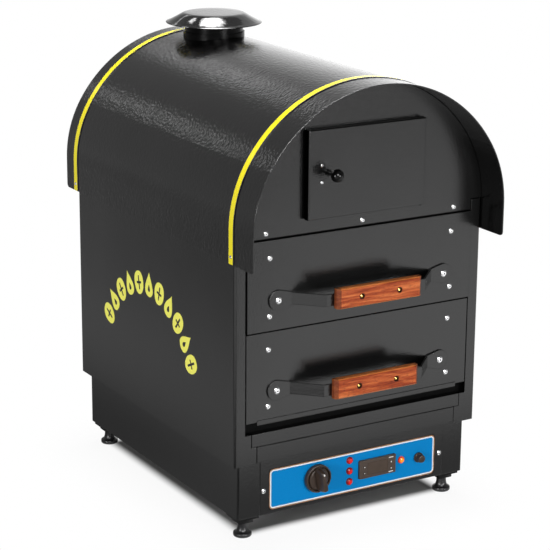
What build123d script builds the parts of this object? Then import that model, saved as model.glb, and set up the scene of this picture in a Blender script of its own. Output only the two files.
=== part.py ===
from build123d import *
import os
from math import cos, hypot, pi, radians, sin, tan

os.makedirs("parts", exist_ok=True)

# Baked potato oven with a barrel roof, two drawers, a small door and a chimney.
# Millimetres. Floor at Z = 0, front towards -Y, X = 0 on the middle of the width, origin under
# the middle of the roof's length.

# ---- overall ----
body_half = 240.0        # half width over the side panels
body_depth = 573.0       # front face to rear face of the body
foot_height = 40.0       # floor to the underside of the base
base_height = 98.0       # base skirt
skin = 1.5               # outer sheet
liner_skin = 1.2         # inner sheet
seat = 0.3               # clearance between pieces that are screwed together
bend = 4.0               # outside radius of the folded vertical edges
stile = 20.2             # width of the front stile folded from the side panel
rear_flange = 15.0
rear_screw_in = 8.0      # rear screws inside the side's outer face
rear_screw_end = 25.0    # outer rear screws from the panel's ends
rear_screw_head = 2.2

# ---- roof ----
roof_skin = 2.0
spring_rise = 54.7       # roof's lower edge to the start of the curve
shoulder_radius = 201.4  # outside radius of the two shoulders
shoulder_turn = 31.5109  # degrees from the start of the curve to where the crown's arc takes over
side_drop = 2.2          # side panels end this far below the start of the curve
hood_front = 61.0        # overhang beyond the front face
hood_rear = 42.0         # overhang beyond the rear face
hood_corner = 7.0
band_skin = 0.8
band_width = 17.0
band_front_at = 6.7      # middle of the front band behind the front face
band_rear_past = 3.7     # middle of the rear band behind the rear face
band_lift = 0.8          # band end above the roof's lower edge
band_screw_rise = 13.0   # screw above the roof's lower edge
band_screw_radius = 3.0
band_screw_head = 1.6
band_screw_length = 10.0
trim_shank = 1.5

# ---- base and control strip ----
base_side_inset = 13.0
base_front_inset = 11.4
base_rear_inset = 10.0
control_inset = 43.0     # control plate's end inside the base's side
control_screw_in = 6.5   # control screws inside the plate's end
control_screw_rise = 42.5
plate_gap = 0.6
plate_top_gap = 1.5
return_in = 12.0         # returns behind the stiles reach past the plate's end
return_end = 3.0
overlay_inset = 16.7     # blue overlay's end inside the control plate's end
overlay_rise = 6.5       # overlay's lower edge above the base's underside
overlay_height = 72.1
overlay_skin = 0.6
overlay_corner = 4.0
knob_x = -74.5
knob_rise = 46.5
knob_skirt_radius = 24.0
knob_skirt = 5.5
knob_edge = 2.2          # straight edge of the skirt
knob_body_radius = 20.5
knob_shoulder = 4.5      # body's height above the skirt
knob_depth = 21.0
knob_wing = 13.0
knob_round = 2.2
knob_turned = 20.0       # the wing leans this many degrees at rest
shaft_radius = 3.0
shaft_reach = 13.5       # shaft inside the knob
shaft_length = 18.0      # shaft behind the control plate's face
switch_half = 21.0
switch_depth = 46.0
switch_neck_radius = 5.0
lamp_x = -9.0
lamp_rise = (64.4, 45.2, 26.0)
amber_x = 97.0
amber_rise = 45.2
lamp_radius = 6.0
lamp_rim = 1.4
lamp_dome = 2.4
lamp_dome_radius = 2.8   # flat top of the dome
lamp_barrel = 4.8
lamp_length = 24.0
lamp_nut = 4.0
lamp_nut_rim = 1.5       # nut wider than the lens
control_x = 46.5         # middle of the temperature controller
control_rise = 43.3
bezel_width = 74.5
bezel_height = 33.5
bezel_depth = 4.0
bezel_corner = 2.0
bezel_round = 0.9
window_width = 42.0
window_height = 22.0
window_depth = 0.6
window_corner = 1.2
case_width = 70.0
case_height = 28.0
case_depth = 58.0
key_x = 27.2             # keys each side of the controller's middle
key_high = 4.2
key_low = -7.0
key_width = 5.0
key_height = 3.6
key_corner = 1.1
key_depth = 3.0
key_proud = 0.9
key_travel = 0.8
key_clear = 0.1
key_round = 0.4
reset_x = 132.4
reset_rise = 43.2
reset_nut_radius = 7.6
reset_nut = 3.5
reset_barrel = 4.6
reset_length = 10.0      # barrel behind the control plate's face
reset_thread = 3.6       # thread under the cap
reset_thread_length = 4.5
reset_bore = 1.8
reset_pin = 1.3
reset_cap_radius = 5.2
reset_cap_length = 13.0
reset_cap_round = 2.4
reset_grip_radius = 0.5
reset_grips = 14
limit_half = 17.0
limit_half_height = 20.0
limit_depth = 30.0

# ---- inside the base ----
vent_slot_length = 26.0
vent_slot_width = 5.0
vent_slot_pitch_x = 40.0
vent_slot_pitch_y = 60.0
gland_side = 77.0        # gland inside the base's left side
gland_rise = 52.0
gland_radius = 10.0
gland_nut_radius = 13.5
gland_nut = 7.0
gland_locknut = 5.0
gland_cone = 13.0
gland_tip_radius = 9.0
gland_bore = 5.2
terminal_from_rear = 90.0
terminal_depth = 40.0
terminal_height = 24.0
terminal_ways = 5
terminal_pitch = 12.0
terminal_slot = 8.0
terminal_slot_depth = 8.0
terminal_end = 6.0

# ---- feet ----
foot_side = 24.0         # foot axis inside the base's side
foot_end = 25.6          # foot axis inside the base's front and rear
foot_pad_radius = 15.8
foot_pad = 3.0
foot_flare = 12.0
foot_neck_radius = 6.3
foot_collar_radius = 9.6
foot_collar = 10.2       # height of the collar under the bracket
foot_collar_bevel = 1.5
bracket_size = 40.0
bracket_skin = 6.0
stud_radius = 5.0
stud_rise = 30.0         # stud above the base's underside
stud_hole_clear = 0.6
thread_clear = 0.1

# ---- front ----
front_gap = 1.2          # gap round the low strips
tray_side = 43.2         # tray front's end inside the body's side
tray_front_height = 27.2
tray_lift = 0.6
rail_side = 33.0         # rail's end inside the body's side
rail_height = 22.0
slot_height = 15.0       # dark slot between the rail and the lower drawer's lip
lip_drop = 5.0
lip_side = 20.0          # lip's end inside the drawer front's end
lip_proud = 1.0
lip_root = 3.0
drawer_side_gap = 1.8    # gap between the drawer fronts and the stiles
drawer_height = 151.0
drawer_gap = 3.0
upper_stand = 3.0        # the upper front stands this proud
front_pan = 13.0         # rear edge of the drawer fronts behind the front face
front_screw_in = 13.0    # front screws inside the drawer box's side
front_screw_rise = (24.5, 121.5)
front_screw_radius = 4.6
front_screw_head = 2.6
arch_gap = 2.7           # gap between the upper drawer and the arched panel
arch_rise = 18.8         # arched panel's lower edge to the start of the curve
arch_screw_in = 57.0     # outer screws inside the body's side
arch_screw_rise = 8.0
panel_screw_radius = 4.2
panel_screw_head = 2.4
panel_screw_length = 8.0
screw_hole_clear = 0.3
screw_shank = 2.0
screw_end = 3.0          # screw past what it holds

# ---- handles ----
handle_rise = 50.0       # handle screws above the drawer's lower edge
handle_screw_x = 162.0
handle_screw_radius = 5.6
handle_screw_head = 3.0
handle_screw_length = 8.0
handle_eye_radius = 17.0
handle_skin = 3.0
handle_neck = 26.0       # eye's middle to the bend at the front
handle_neck_half = 11.0
handle_run = 40.0        # sloping part, measured along the front
handle_eye_flat = 4.0
handle_eye_drop = 0.5
handle_reach = 43.0      # front face of the bar in front of the drawer front
handle_bar_half = 10.0
grip_half = 82.0
grip_height = 33.5
grip_depth = 14.0
grip_bevel = 6.0
grip_edge = 2.5
grip_lift = 3.0          # grip's middle above the handle screws
grip_screw_x = 36.5
grip_screw_radius = 3.2
grip_screw_head = 2.2
grip_recess_radius = 4.6
grip_recess = 5.0

# ---- oven inside ----
pan_clear = 1.0          # liner's flange behind the drawer fronts
liner_side = 32.8        # liner inside the body's side
liner_end = 28.0         # liner's rear inside the body's rear
liner_lift = 2.0         # liner floor above the body's underside
liner_top_gap = 24.0     # liner's roof below the deck
liner_flange_in = 2.2
mouth_ledge = 2.0        # drawer mouth inside the liner's wall
mouth_rise = 3.8         # drawer mouth above the lower drawer's lower edge
tray_side_in = 6.8       # tray's wall inside the tray front's end
tray_clear = 3.0
tray_end = 25.0          # tray's rear inside the liner's rear
tray_wall = 17.0
deck_drop = 1.9          # deck below the arched panel's lower edge
deck_flange = 18.0
deck_in = 1.8            # deck behind the front face
element_radius = 4.0
element_half = 140.0
element_front = 80.0
element_past = 15.0      # element ends past the liner's rear
element_turn = 45.0
element_above_tray = 31.5
element_below_top = 11.0
probe_radius = 3.0
probe_x = 60.0
probe_drop = 21.2        # probe below the upper drawer
probe_inside = 75.0
probe_past = 20.0
probe_flange = 4.0
probe_flange_skin = 3.0
vent_radius = 25.0       # spigot from the oven into the upper compartment
vent_rise = 12.0         # spigot above the deck
vent_flange = 8.0
rear_vent_drop = 60.0    # cooling slots below the deck
rear_vent_pitch = 34.0
rear_vent_row = 12.0
rear_vent_length = 24.0
rear_vent_width = 4.0

# ---- drawers inside ----
box_end = 45.0           # box's rear inside the liner's rear
box_rise = 12.0          # box floor above the drawer's lower edge
box_height = 98.0
box_flange = 13.5
box_hole_radius = 5.0
box_hole_pitch = 60.0
runner_clear = 0.3
runner_play = 0.8
runner_side_gap = 1.3
runner_ledge = 12.0
runner_in = 7.0          # channels start behind the drawer fronts
runner_end = 5.0

# ---- small door ----
door_half = 113.0
door_rise = 23.6         # door's lower edge above the arched panel's lower edge
door_height = 146.5
door_depth = 11.0
door_stand = 2.5         # gap between the door's rear edge and the arched panel
door_overlap = 10.0
door_corner = 2.0
pivot_in = 5.0           # pivot axis inside the door's edge
pivot_radius = 2.5
pivot_clear = 0.05
pivot_length = 12.0
pivot_past = 1.5         # pin past the door's edge
pivot_plate = 4.0        # bracket height
pivot_plate_half = 2.4
pivot_boss = 3.2
pivot_arm = 10.0
pivot_foot_near = 8.0
pivot_foot_far = 26.0
pivot_foot_height = 8.0
pivot_notch = 1.5
ball_in = 37.0           # ball knob inside the door's free edge
ball_rise = 75.5
ball_radius = 10.8
ball_reach = 27.0        # ball middle in front of the door
stem_radius = 3.4
stem_foot = 2.2
stem_foot_height = 2.0
stem_end = 3.0
door_screw_in = 25.5
door_screw_rise = (60.0, 88.0)
door_screw_radius = 2.6
door_screw_head = 1.6
door_screw_length = 9.0
catch_width = 14.0
catch_height = 44.0
catch_gap = 0.5
catch_notch = 5.5

# ---- chimney ----
flue_from_rear = 76.0
flue_radius = 52.5
flue_skin = 1.2
flue_rise = 18.0         # pipe's end above the crown
flue_inside = 26.0       # pipe's end below the crown, inside the upper compartment
collar_skin = 2.6
collar_rise = 7.0
collar_drop = 17.0       # collar follows the roof down this far
cap_gap = 4.5            # cap's rim above the pipe's end
cap_rim_radius = 86.5
cap_flat_radius = 54.7
cap_height = 18.0
cap_skin = 1.2
cap_brim = 4.0
cap_leg_width = 14.0
cap_leg_skin = 1.6
cap_leg_drop = 24.0
cap_leg_in = 0.5

# ---- derived ----
front = -(body_depth + hood_rear - hood_front) / 2   # Y of the body's front face
body_low = foot_height + base_height
inner_half = body_half - skin - seat
stile_in = body_half - stile
roof_half = body_half + seat + roof_skin
base_half = body_half - base_side_inset
base_front = base_front_inset
base_rear = body_depth - base_rear_inset
face = base_front - overlay_skin                     # front of the blue overlay

tray_front_half = body_half - tray_side
rail_half = body_half - rail_side
tray_low = body_low + front_gap + tray_lift
rail_low = tray_low + tray_front_height + front_gap
rail_high = rail_low + rail_height
lower_z = rail_high + slot_height + lip_drop         # lower edge of the lower drawer
upper_z = lower_z + drawer_height + drawer_gap
drawer_half = stile_in - drawer_side_gap
arch_low = upper_z + drawer_height + arch_gap
door_low = arch_low + door_rise

spring_z = arch_low + arch_rise
roof_low = spring_z - spring_rise
side_top = spring_z - side_drop
shoulder_x = roof_half - shoulder_radius
shoulder_angle = radians(shoulder_turn)
crown_radius = shoulder_radius + shoulder_x / cos(shoulder_angle)
crown_z = spring_z - shoulder_x * tan(shoulder_angle)  # centre of the crown's arc
crown_top = crown_z + crown_radius

liner_half = body_half - liner_side
liner_front = front_pan + pan_clear
liner_rear = body_depth - liner_end
liner_low = body_low + liner_lift
deck_z = arch_low - deck_drop
liner_top = deck_z - liner_top_gap
mouth_low = lower_z + mouth_rise
pad_rear = body_depth - 2 * skin - seat
wall_x = liner_half - liner_skin
box_half = wall_x - liner_skin - runner_side_gap - box_flange
box_rear = liner_rear - box_end
tray_half = tray_front_half - tray_side_in
tray_mouth_half = tray_half + tray_clear
tray_floor = liner_low + liner_skin + runner_clear
runner_front, runner_rear = front_pan + runner_in, liner_rear - runner_end

flue_y = front + body_depth - flue_from_rear
flue_top = crown_top + flue_rise
cap_low = flue_top + cap_gap
cap_top = cap_low + cap_height

control_half = base_half - control_inset
overlay_half = control_half - overlay_inset
overlay_low = foot_height + overlay_rise
knob_at = [(knob_x, foot_height + knob_rise)]
red_lamps = [(lamp_x, foot_height + rise) for rise in lamp_rise]
lamps = red_lamps + [(amber_x, foot_height + amber_rise)]
control_z = foot_height + control_rise
keys = [(control_x + s * key_x, control_z + dz) for s in (-1, 1) for dz in (key_high, key_low)]
reset_at = [(reset_x, foot_height + reset_rise)]
gland_x = gland_side - base_half
gland_at = [(gland_x, foot_height + gland_rise)]
foot_points = [(s * (base_half - foot_side), front + d)
               for s in (-1, 1) for d in (base_front + foot_end, base_rear - foot_end)]

hole = screw_shank + screw_hole_clear
trim_hole = trim_shank + screw_hole_clear
arch_screws = [(s * (body_half - arch_screw_in), arch_low + arch_screw_rise) for s in (-1, 0, 1)]
control_screws = [(s * (control_half - control_screw_in), foot_height + control_screw_rise)
                  for s in (-1, 1)]
rear_screws = [(s * (body_half - rear_screw_in), z) for s in (-1, 1)
               for z in (body_low + rear_screw_end, (body_low + deck_z) / 2, deck_z - rear_screw_end)]
trim_points = [(s, front + d) for s in (-1, 1)
               for d in (band_front_at, body_depth + band_rear_past)]
element_levels = (tray_floor + tray_wall + element_above_tray, liner_top - element_below_top)
element_ends = [(s * element_half, z) for s in (-1, 1) for z in element_levels]
probe_at = [(probe_x, upper_z - probe_drop)]


# ---- helpers: depths are measured backwards from the body's front face ----
def upright(depth):
    """Plane facing the front, at this depth; its own Y is the real Z."""
    return Plane(origin=(0, front + depth, 0), x_dir=(1, 0, 0), z_dir=(0, -1, 0))


def section(x, y, z=0):
    """Upright plane for a revolved section; its own X is the radius."""
    return Plane(origin=(x, y, z), x_dir=(1, 0, 0), z_dir=(0, -1, 0))


def block(x0, x1, d0, d1, z0, z1, mode=Mode.ADD):
    with Locations(((x0 + x1) / 2, front + (d0 + d1) / 2, (z0 + z1) / 2)):
        Box(x1 - x0, d1 - d0, z1 - z0, mode=mode)


def flank(side, xa, xb, d0, d1, z0, z1, mode=Mode.ADD):
    """Block between two half widths, on the left for side -1 and on the right for side 1."""
    block(min(side * xa, side * xb), max(side * xa, side * xb), d0, d1, z0, z1, mode)


def rods(points, d0, d1, radius, mode=Mode.ADD):
    """Cylinders along Y through (x, z) points."""
    with Locations(*[(x, front + (d0 + d1) / 2, z) for x, z in points]):
        Cylinder(radius, d1 - d0, rotation=(90, 0, 0), mode=mode)


def pillar(x, y, z0, z1, radius, mode=Mode.ADD):
    with Locations((x, y, (z0 + z1) / 2)):
        Cylinder(radius, z1 - z0, mode=mode)


def screws(points, at, radius, height, length, shank=screw_shank):
    """Domed screws along Y with a small drive recess, heads towards the front."""
    rods(points, at - height * 0.45, at, radius)
    with Locations(*[(x, front + at - height * 0.725, z) for x, z in points]):
        Cone(radius, radius * 0.6, height * 0.55, rotation=(90, 0, 0))
    rods(points, at - height, at - height * 0.4, radius * 0.26, Mode.SUBTRACT)
    rods(points, at, at + length, shank)


def arch_path(inset, foot):
    """Roof outline at this inset from the outer face, from foot to foot."""
    r_crown, r_side = crown_radius - inset, shoulder_radius - inset
    half = roof_half - inset
    tx, tz = r_crown * cos(shoulder_angle), crown_z + r_crown * sin(shoulder_angle)
    mx = shoulder_x + r_side * cos(shoulder_angle / 2)
    mz = spring_z + r_side * sin(shoulder_angle / 2)
    Line((-half, foot), (-half, spring_z))
    ThreePointArc((-half, spring_z), (-mx, mz), (-tx, tz))
    ThreePointArc((-tx, tz), (0, crown_z + r_crown), (tx, tz))
    ThreePointArc((tx, tz), (mx, mz), (half, spring_z))
    Line((half, spring_z), (half, foot))


def arch_sheet(outer, inner, foot):
    """Curved sheet section between two insets."""
    with BuildLine() as profile:
        arch_path(outer, foot)
        arch_path(inner, foot)
        for side in (-1, 1):
            Line((side * (roof_half - outer), foot), (side * (roof_half - inner), foot))
    make_face(profile.edges())


def arch_plate(inset, foot):
    """Full arched plate section, closed at the foot."""
    with BuildLine() as profile:
        arch_path(inset, foot)
        Line((inset - roof_half, foot), (roof_half - inset, foot))
    make_face(profile.edges())


def strip_outline(points, thick):
    """Closed outline of a bent strip with mitred corners round a middle line."""
    left, right = [], []
    for i, (x, y) in enumerate(points):
        before = points[max(i - 1, 0)]
        after = points[min(i + 1, len(points) - 1)]
        d1 = (x - before[0], y - before[1]) if i else (after[0] - x, after[1] - y)
        d2 = (after[0] - x, after[1] - y) if i < len(points) - 1 else d1
        n1, n2 = hypot(*d1), hypot(*d2)
        a, b = (-d1[1] / n1, d1[0] / n1), (-d2[1] / n2, d2[0] / n2)
        k = thick / 2 / (1 + a[0] * b[0] + a[1] * b[1])
        left.append((x + (a[0] + b[0]) * k, y + (a[1] + b[1]) * k))
        right.append((x - (a[0] + b[0]) * k, y - (a[1] + b[1]) * k))
    return left + right[::-1]


def outer_corners(builder, half):
    """Upright edges on the outer sides."""
    return builder.edges().filter_by(Axis.Z).filter_by(lambda e: abs(abs(e.center().X) - half) < 0.01)


def save(builder, label):
    builder.part.label = label
    export_step(builder.part, f"parts/{label}.step")


# ======== base ========
with BuildPart() as base_skirt:
    block(-base_half, base_half, base_front, base_rear, foot_height, body_low)
    block(-base_half + skin, base_half - skin, base_front + skin, base_rear - skin,
          foot_height, body_low, Mode.SUBTRACT)
    block(-control_half - plate_gap, control_half + plate_gap, base_front, base_front + skin,
          foot_height, body_low, Mode.SUBTRACT)
    # short returns behind the stiles carry the control plate's screws
    for s in (-1, 1):
        flank(s, control_half - return_in, base_half - skin, base_front + skin, base_front + 2 * skin,
              foot_height + return_end, body_low - return_end)
    rods(control_screws, base_front, base_front + 3 * skin, hole, Mode.SUBTRACT)
    fillet(outer_corners(base_skirt, base_half), bend)
    rods(gland_at, base_rear - 2 * skin, base_rear + skin, gland_radius + seat, Mode.SUBTRACT)
save(base_skirt, "base_skirt")

with BuildPart() as base_floor:
    block(-base_half + skin + seat, base_half - skin - seat, base_front + 2 * skin + seat,
          base_rear - skin - seat, foot_height, foot_height + skin)
    for x, y in foot_points:
        pillar(x, y, foot_height - skin, foot_height + 2 * skin, stud_radius + stud_hole_clear, Mode.SUBTRACT)
    with Locations((0, front + body_depth / 2, foot_height)):
        with GridLocations(vent_slot_pitch_x, vent_slot_pitch_y, 6, 5):
            Box(vent_slot_length, vent_slot_width, 4 * skin, mode=Mode.SUBTRACT)
save(base_floor, "base_floor")

with BuildPart() as control_plate:
    block(-control_half, control_half, base_front, base_front + skin, foot_height, body_low - plate_top_gap)
    through = (base_front - 1, base_front + 2 * skin)
    rods(control_screws, *through, hole, Mode.SUBTRACT)
    rods(knob_at, *through, switch_neck_radius + seat, Mode.SUBTRACT)
    rods(lamps, *through, lamp_barrel + seat, Mode.SUBTRACT)
    rods(reset_at, *through, reset_barrel + seat, Mode.SUBTRACT)
    block(control_x - case_width / 2 - seat, control_x + case_width / 2 + seat, *through,
          control_z - case_height / 2 - seat, control_z + case_height / 2 + seat, Mode.SUBTRACT)
save(control_plate, "control_plate")

with BuildPart() as control_overlay:
    with BuildSketch(upright(base_front)):
        with Locations((0, overlay_low + overlay_height / 2)):
            RectangleRounded(2 * overlay_half, overlay_height, overlay_corner)
        with Locations(*knob_at):
            Circle(switch_neck_radius + seat, mode=Mode.SUBTRACT)
        with Locations(*lamps):
            Circle(lamp_barrel + seat, mode=Mode.SUBTRACT)
        with Locations(*reset_at):
            Circle(reset_barrel + seat, mode=Mode.SUBTRACT)
        with Locations((control_x, control_z)):
            Rectangle(case_width + 2 * seat, case_height + 2 * seat, mode=Mode.SUBTRACT)
    extrude(amount=overlay_skin)
save(control_overlay, "control_overlay")

# selector: skirted knob with a wing grip on its shaft, switch body behind the plate
knob_z = knob_at[0][1]
knob_foot = face - seat
lean = radians(-knob_turned)
with BuildPart() as selector_knob:
    with BuildSketch(Plane(origin=(knob_x, front + knob_foot, knob_z), x_dir=(1, 0, 0), z_dir=(0, 0, 1))):
        with BuildLine():
            Polyline((0, 0), (knob_skirt_radius, 0), (knob_skirt_radius, -knob_edge),
                     (knob_skirt_radius - 3, -knob_skirt), (knob_body_radius, -knob_skirt - 0.6),
                     (knob_body_radius - 2.5, -knob_skirt - knob_shoulder),
                     (0, -knob_skirt - knob_shoulder), (0, 0))
        make_face()
    revolve(axis=Axis((knob_x, front + face, knob_z), (0, 1, 0)))
    with Locations(Plane(origin=(knob_x, front + knob_foot - knob_skirt - 2, knob_z),
                         x_dir=(cos(lean), 0, sin(lean)), z_dir=(0, -1, 0))):
        Box(knob_wing, 2 * knob_body_radius - 2, knob_depth - knob_skirt - 2,
            align=(Align.CENTER, Align.CENTER, Align.MIN))
    tip = front + knob_foot - knob_depth
    fillet(selector_knob.edges().filter_by(lambda e: e.center().Y < tip + knob_round / 2), knob_round)
    rods(knob_at, knob_foot - shaft_reach - 0.5, face + 1, shaft_radius + thread_clear, Mode.SUBTRACT)
save(selector_knob, "selector_knob")

with BuildPart() as selector_shaft:
    rods(knob_at, knob_foot - shaft_reach, base_front + shaft_length, shaft_radius)
save(selector_shaft, "selector_shaft")

with BuildPart() as selector_switch:
    block(knob_x - switch_half, knob_x + switch_half, base_front + skin, base_front + switch_depth,
          knob_z - switch_half, knob_z + switch_half)
    rods(knob_at, face - 0.1, base_front + skin + 1, switch_neck_radius)
    rods(knob_at, face - 1, base_front + shaft_length + 1, shaft_radius + thread_clear, Mode.SUBTRACT)
save(selector_switch, "selector_switch")

with BuildPart() as pilot_lamps:
    rods(lamps, face - lamp_rim, face, lamp_radius + 0.4)
    with Locations(*[(x, front + face - lamp_rim, z) for x, z in lamps]):
        Cone(lamp_radius - 0.6, lamp_dome_radius, lamp_dome, rotation=(90, 0, 0),
             align=(Align.CENTER, Align.CENTER, Align.MIN))
    rods(lamps, face, base_front + lamp_length, lamp_barrel)
    rods(lamps, base_front + skin, base_front + skin + lamp_nut, lamp_radius + lamp_nut_rim)
save(pilot_lamps, "pilot_lamps")

with BuildPart() as controller_case:
    with BuildSketch(upright(face)):
        with Locations((control_x, control_z)):
            RectangleRounded(bezel_width, bezel_height, bezel_corner)
    extrude(amount=bezel_depth)
    fillet(controller_case.faces().sort_by(Axis.Y)[0].edges(), bezel_round)
    block(control_x - case_width / 2, control_x + case_width / 2, face, base_front + case_depth,
          control_z - case_height / 2, control_z + case_height / 2)
    with BuildSketch(upright(face - bezel_depth)):
        with Locations((control_x, control_z)):
            RectangleRounded(window_width, window_height, window_corner)
    extrude(amount=-window_depth, mode=Mode.SUBTRACT)
    with BuildSketch(upright(face - bezel_depth)):
        with Locations(*keys):
            RectangleRounded(key_width + 2 * key_clear, key_height + 2 * key_clear, key_corner + key_clear)
    extrude(amount=-(key_depth - key_proud + key_travel + key_round), mode=Mode.SUBTRACT)
save(controller_case, "controller_case")

for i, (x, z) in enumerate(keys):
    with BuildPart() as key:
        with BuildSketch(upright(face - bezel_depth - key_proud)):
            with Locations((x, z)):
                RectangleRounded(key_width, key_height, key_corner)
        extrude(amount=-key_depth)
        fillet(key.faces().sort_by(Axis.Y)[0].edges(), key_round)
    save(key, f"controller_key_{i + 1}")

nut_face = face - reset_nut
with BuildPart() as limit_thermostat:
    # threaded bush with its nut, then the case with the reset pin
    rods(reset_at, nut_face, face, reset_nut_radius)
    chamfer(limit_thermostat.faces().sort_by(Axis.Y)[0].edges(), 0.8)
    rods(reset_at, face, base_front + reset_length, reset_barrel)
    rods(reset_at, nut_face - reset_thread_length, face, reset_thread)
    rods(reset_at, nut_face - reset_thread_length - 1, base_front + reset_length + 1, reset_bore,
         Mode.SUBTRACT)
    x, z = reset_at[0]
    block(x - limit_half, x + limit_half, base_front + reset_length, base_front + reset_length + limit_depth,
          z - limit_half_height, z + limit_half_height)
    rods(reset_at, face - 2, base_front + reset_length + 2, reset_pin)
save(limit_thermostat, "limit_thermostat")

cap_foot = nut_face - seat
with BuildPart() as reset_cap:
    rods(reset_at, cap_foot - reset_cap_length, cap_foot, reset_cap_radius)
    fillet(reset_cap.faces().sort_by(Axis.Y)[0].edges(), reset_cap_round)
    turns = [2 * pi * k / reset_grips for k in range(reset_grips)]
    rods([(reset_x + reset_cap_radius * cos(a), reset_at[0][1] + reset_cap_radius * sin(a)) for a in turns],
         cap_foot - reset_cap_length + reset_cap_round + 1.6, cap_foot - 1.2, reset_grip_radius,
         Mode.SUBTRACT)
    rods(reset_at, cap_foot - reset_thread_length - 0.5, face, reset_thread + thread_clear, Mode.SUBTRACT)
save(reset_cap, "reset_cap")

with BuildPart() as terminal_block:
    length = (terminal_ways - 1) * terminal_pitch + 2 * terminal_end
    left, low = gland_x - length / 2 + 10, foot_height + skin
    near = base_rear - terminal_from_rear
    block(left, left + length, near, near + terminal_depth, low, low + terminal_height)
    for i in range(terminal_ways):
        x = left + terminal_end + i * terminal_pitch
        block(x - terminal_slot / 2, x + terminal_slot / 2, near + terminal_end,
              near + terminal_depth - terminal_end, low + terminal_height - terminal_slot_depth,
              low + terminal_height, Mode.SUBTRACT)
save(terminal_block, "terminal_block")

with BuildPart() as cable_gland:
    rods(gland_at, base_rear - skin - gland_locknut - 7, base_rear + gland_nut + 1, gland_radius)
    rods(gland_at, base_rear, base_rear + gland_nut, gland_nut_radius)
    rods(gland_at, base_rear - skin - gland_locknut, base_rear - skin, gland_nut_radius)
    with Locations((gland_x, front + base_rear + gland_nut, gland_at[0][1])):
        Cone(gland_nut_radius - 1, gland_tip_radius, gland_cone, rotation=(-90, 0, 0),
             align=(Align.CENTER, Align.CENTER, Align.MIN))
    rods(gland_at, base_rear - 30, base_rear + gland_nut + gland_cone + 10, gland_bore, Mode.SUBTRACT)
save(cable_gland, "cable_gland")

# ======== feet ========
with BuildPart() as foot_brackets:
    for x, y in foot_points:
        with Locations((x, y, foot_height - bracket_skin / 2)):
            Box(bracket_size, bracket_size, bracket_skin)
        pillar(x, y, foot_height - 2 * bracket_skin, foot_height + bracket_skin,
               stud_radius + thread_clear, Mode.SUBTRACT)
save(foot_brackets, "foot_brackets")

collar_high = foot_height - bracket_skin - seat
collar_low = collar_high - foot_collar
for name, (x, y) in zip(("left_front", "left_rear", "right_front", "right_rear"), foot_points):
    with BuildPart() as foot:
        with BuildSketch(section(x, y)):
            with BuildLine():
                Polyline((0, 0), (foot_pad_radius, 0), (foot_pad_radius, foot_pad))
                ThreePointArc((foot_pad_radius, foot_pad), (foot_neck_radius + 2.6, foot_pad + 3.4),
                              (foot_neck_radius, foot_flare))
                Polyline((foot_neck_radius, foot_flare), (foot_neck_radius, collar_low),
                         (foot_collar_radius, collar_low + foot_collar_bevel),
                         (foot_collar_radius, collar_high),
                         (stud_radius, collar_high), (stud_radius, foot_height + stud_rise),
                         (0, foot_height + stud_rise), (0, 0))
            make_face()
        revolve(axis=Axis((x, y, 0), (0, 0, 1)))
    save(foot, f"levelling_foot_{name}")

# ======== body shell ========
for side, name in ((-1, "left"), (1, "right")):
    with BuildPart() as side_panel:
        flank(side, body_half - skin, body_half, 0, body_depth, body_low, side_top)
        flank(side, stile_in, body_half, 0, skin, body_low, side_top)
        flank(side, rail_half + front_gap, body_half, 0, skin, body_low, rail_high)
        flank(side, tray_front_half + front_gap, body_half, 0, skin, body_low, rail_low - front_gap / 2)
        flank(side, body_half - rear_flange, body_half, body_depth - skin, body_depth, body_low, side_top)
        fillet(outer_corners(side_panel, body_half), bend)
        rods([p for p in rear_screws if p[0] * side > 0], body_depth - 2 * skin, body_depth + 1, hole,
             Mode.SUBTRACT)
        with Locations((side * body_half, front + band_front_at, roof_low + band_screw_rise)):
            Cylinder(trim_hole, 8 * skin, rotation=(0, 90, 0), mode=Mode.SUBTRACT)
    save(side_panel, f"side_panel_{name}")

with BuildPart() as body_floor:
    block(-inner_half, inner_half, front_pan + liner_skin, pad_rear, body_low, body_low + skin)
save(body_floor, "body_floor")

with BuildPart() as rear_panel:
    block(-inner_half, inner_half, body_depth - 2 * skin, body_depth - skin, body_low + seat, deck_z - seat)
    rods(rear_screws, body_depth - 4 * skin, body_depth, hole, Mode.SUBTRACT)
    for k in range(3):
        with Locations((0, front + body_depth - 1.5 * skin, deck_z - rear_vent_drop - k * rear_vent_row)):
            with GridLocations(rear_vent_pitch, 1, 9, 1):
                Box(rear_vent_length, 4 * skin, rear_vent_width, mode=Mode.SUBTRACT)
save(rear_panel, "rear_panel")

with BuildPart() as front_rail:
    block(-rail_half, rail_half, 0, skin, rail_low, rail_high)
    block(-rail_half, rail_half, 0, liner_front, rail_high - skin, rail_high)
    block(-tray_mouth_half, tray_mouth_half, 0, liner_front, rail_low, rail_low + skin)
save(front_rail, "front_rail")

# ======== upper compartment ========
with BuildPart() as deck:
    block(-inner_half, inner_half, deck_in, pad_rear, deck_z, deck_z + skin)
    block(-inner_half, inner_half, deck_in, deck_in + skin, deck_z, deck_z + deck_flange)
    block(-inner_half, inner_half, pad_rear - skin, pad_rear, deck_z, deck_z + deck_flange)
    rods(arch_screws, 0, deck_in + 4 * skin, hole, Mode.SUBTRACT)
    pillar(0, flue_y, deck_z - skin, deck_z + 2 * skin, vent_radius + seat, Mode.SUBTRACT)
save(deck, "deck")

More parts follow.
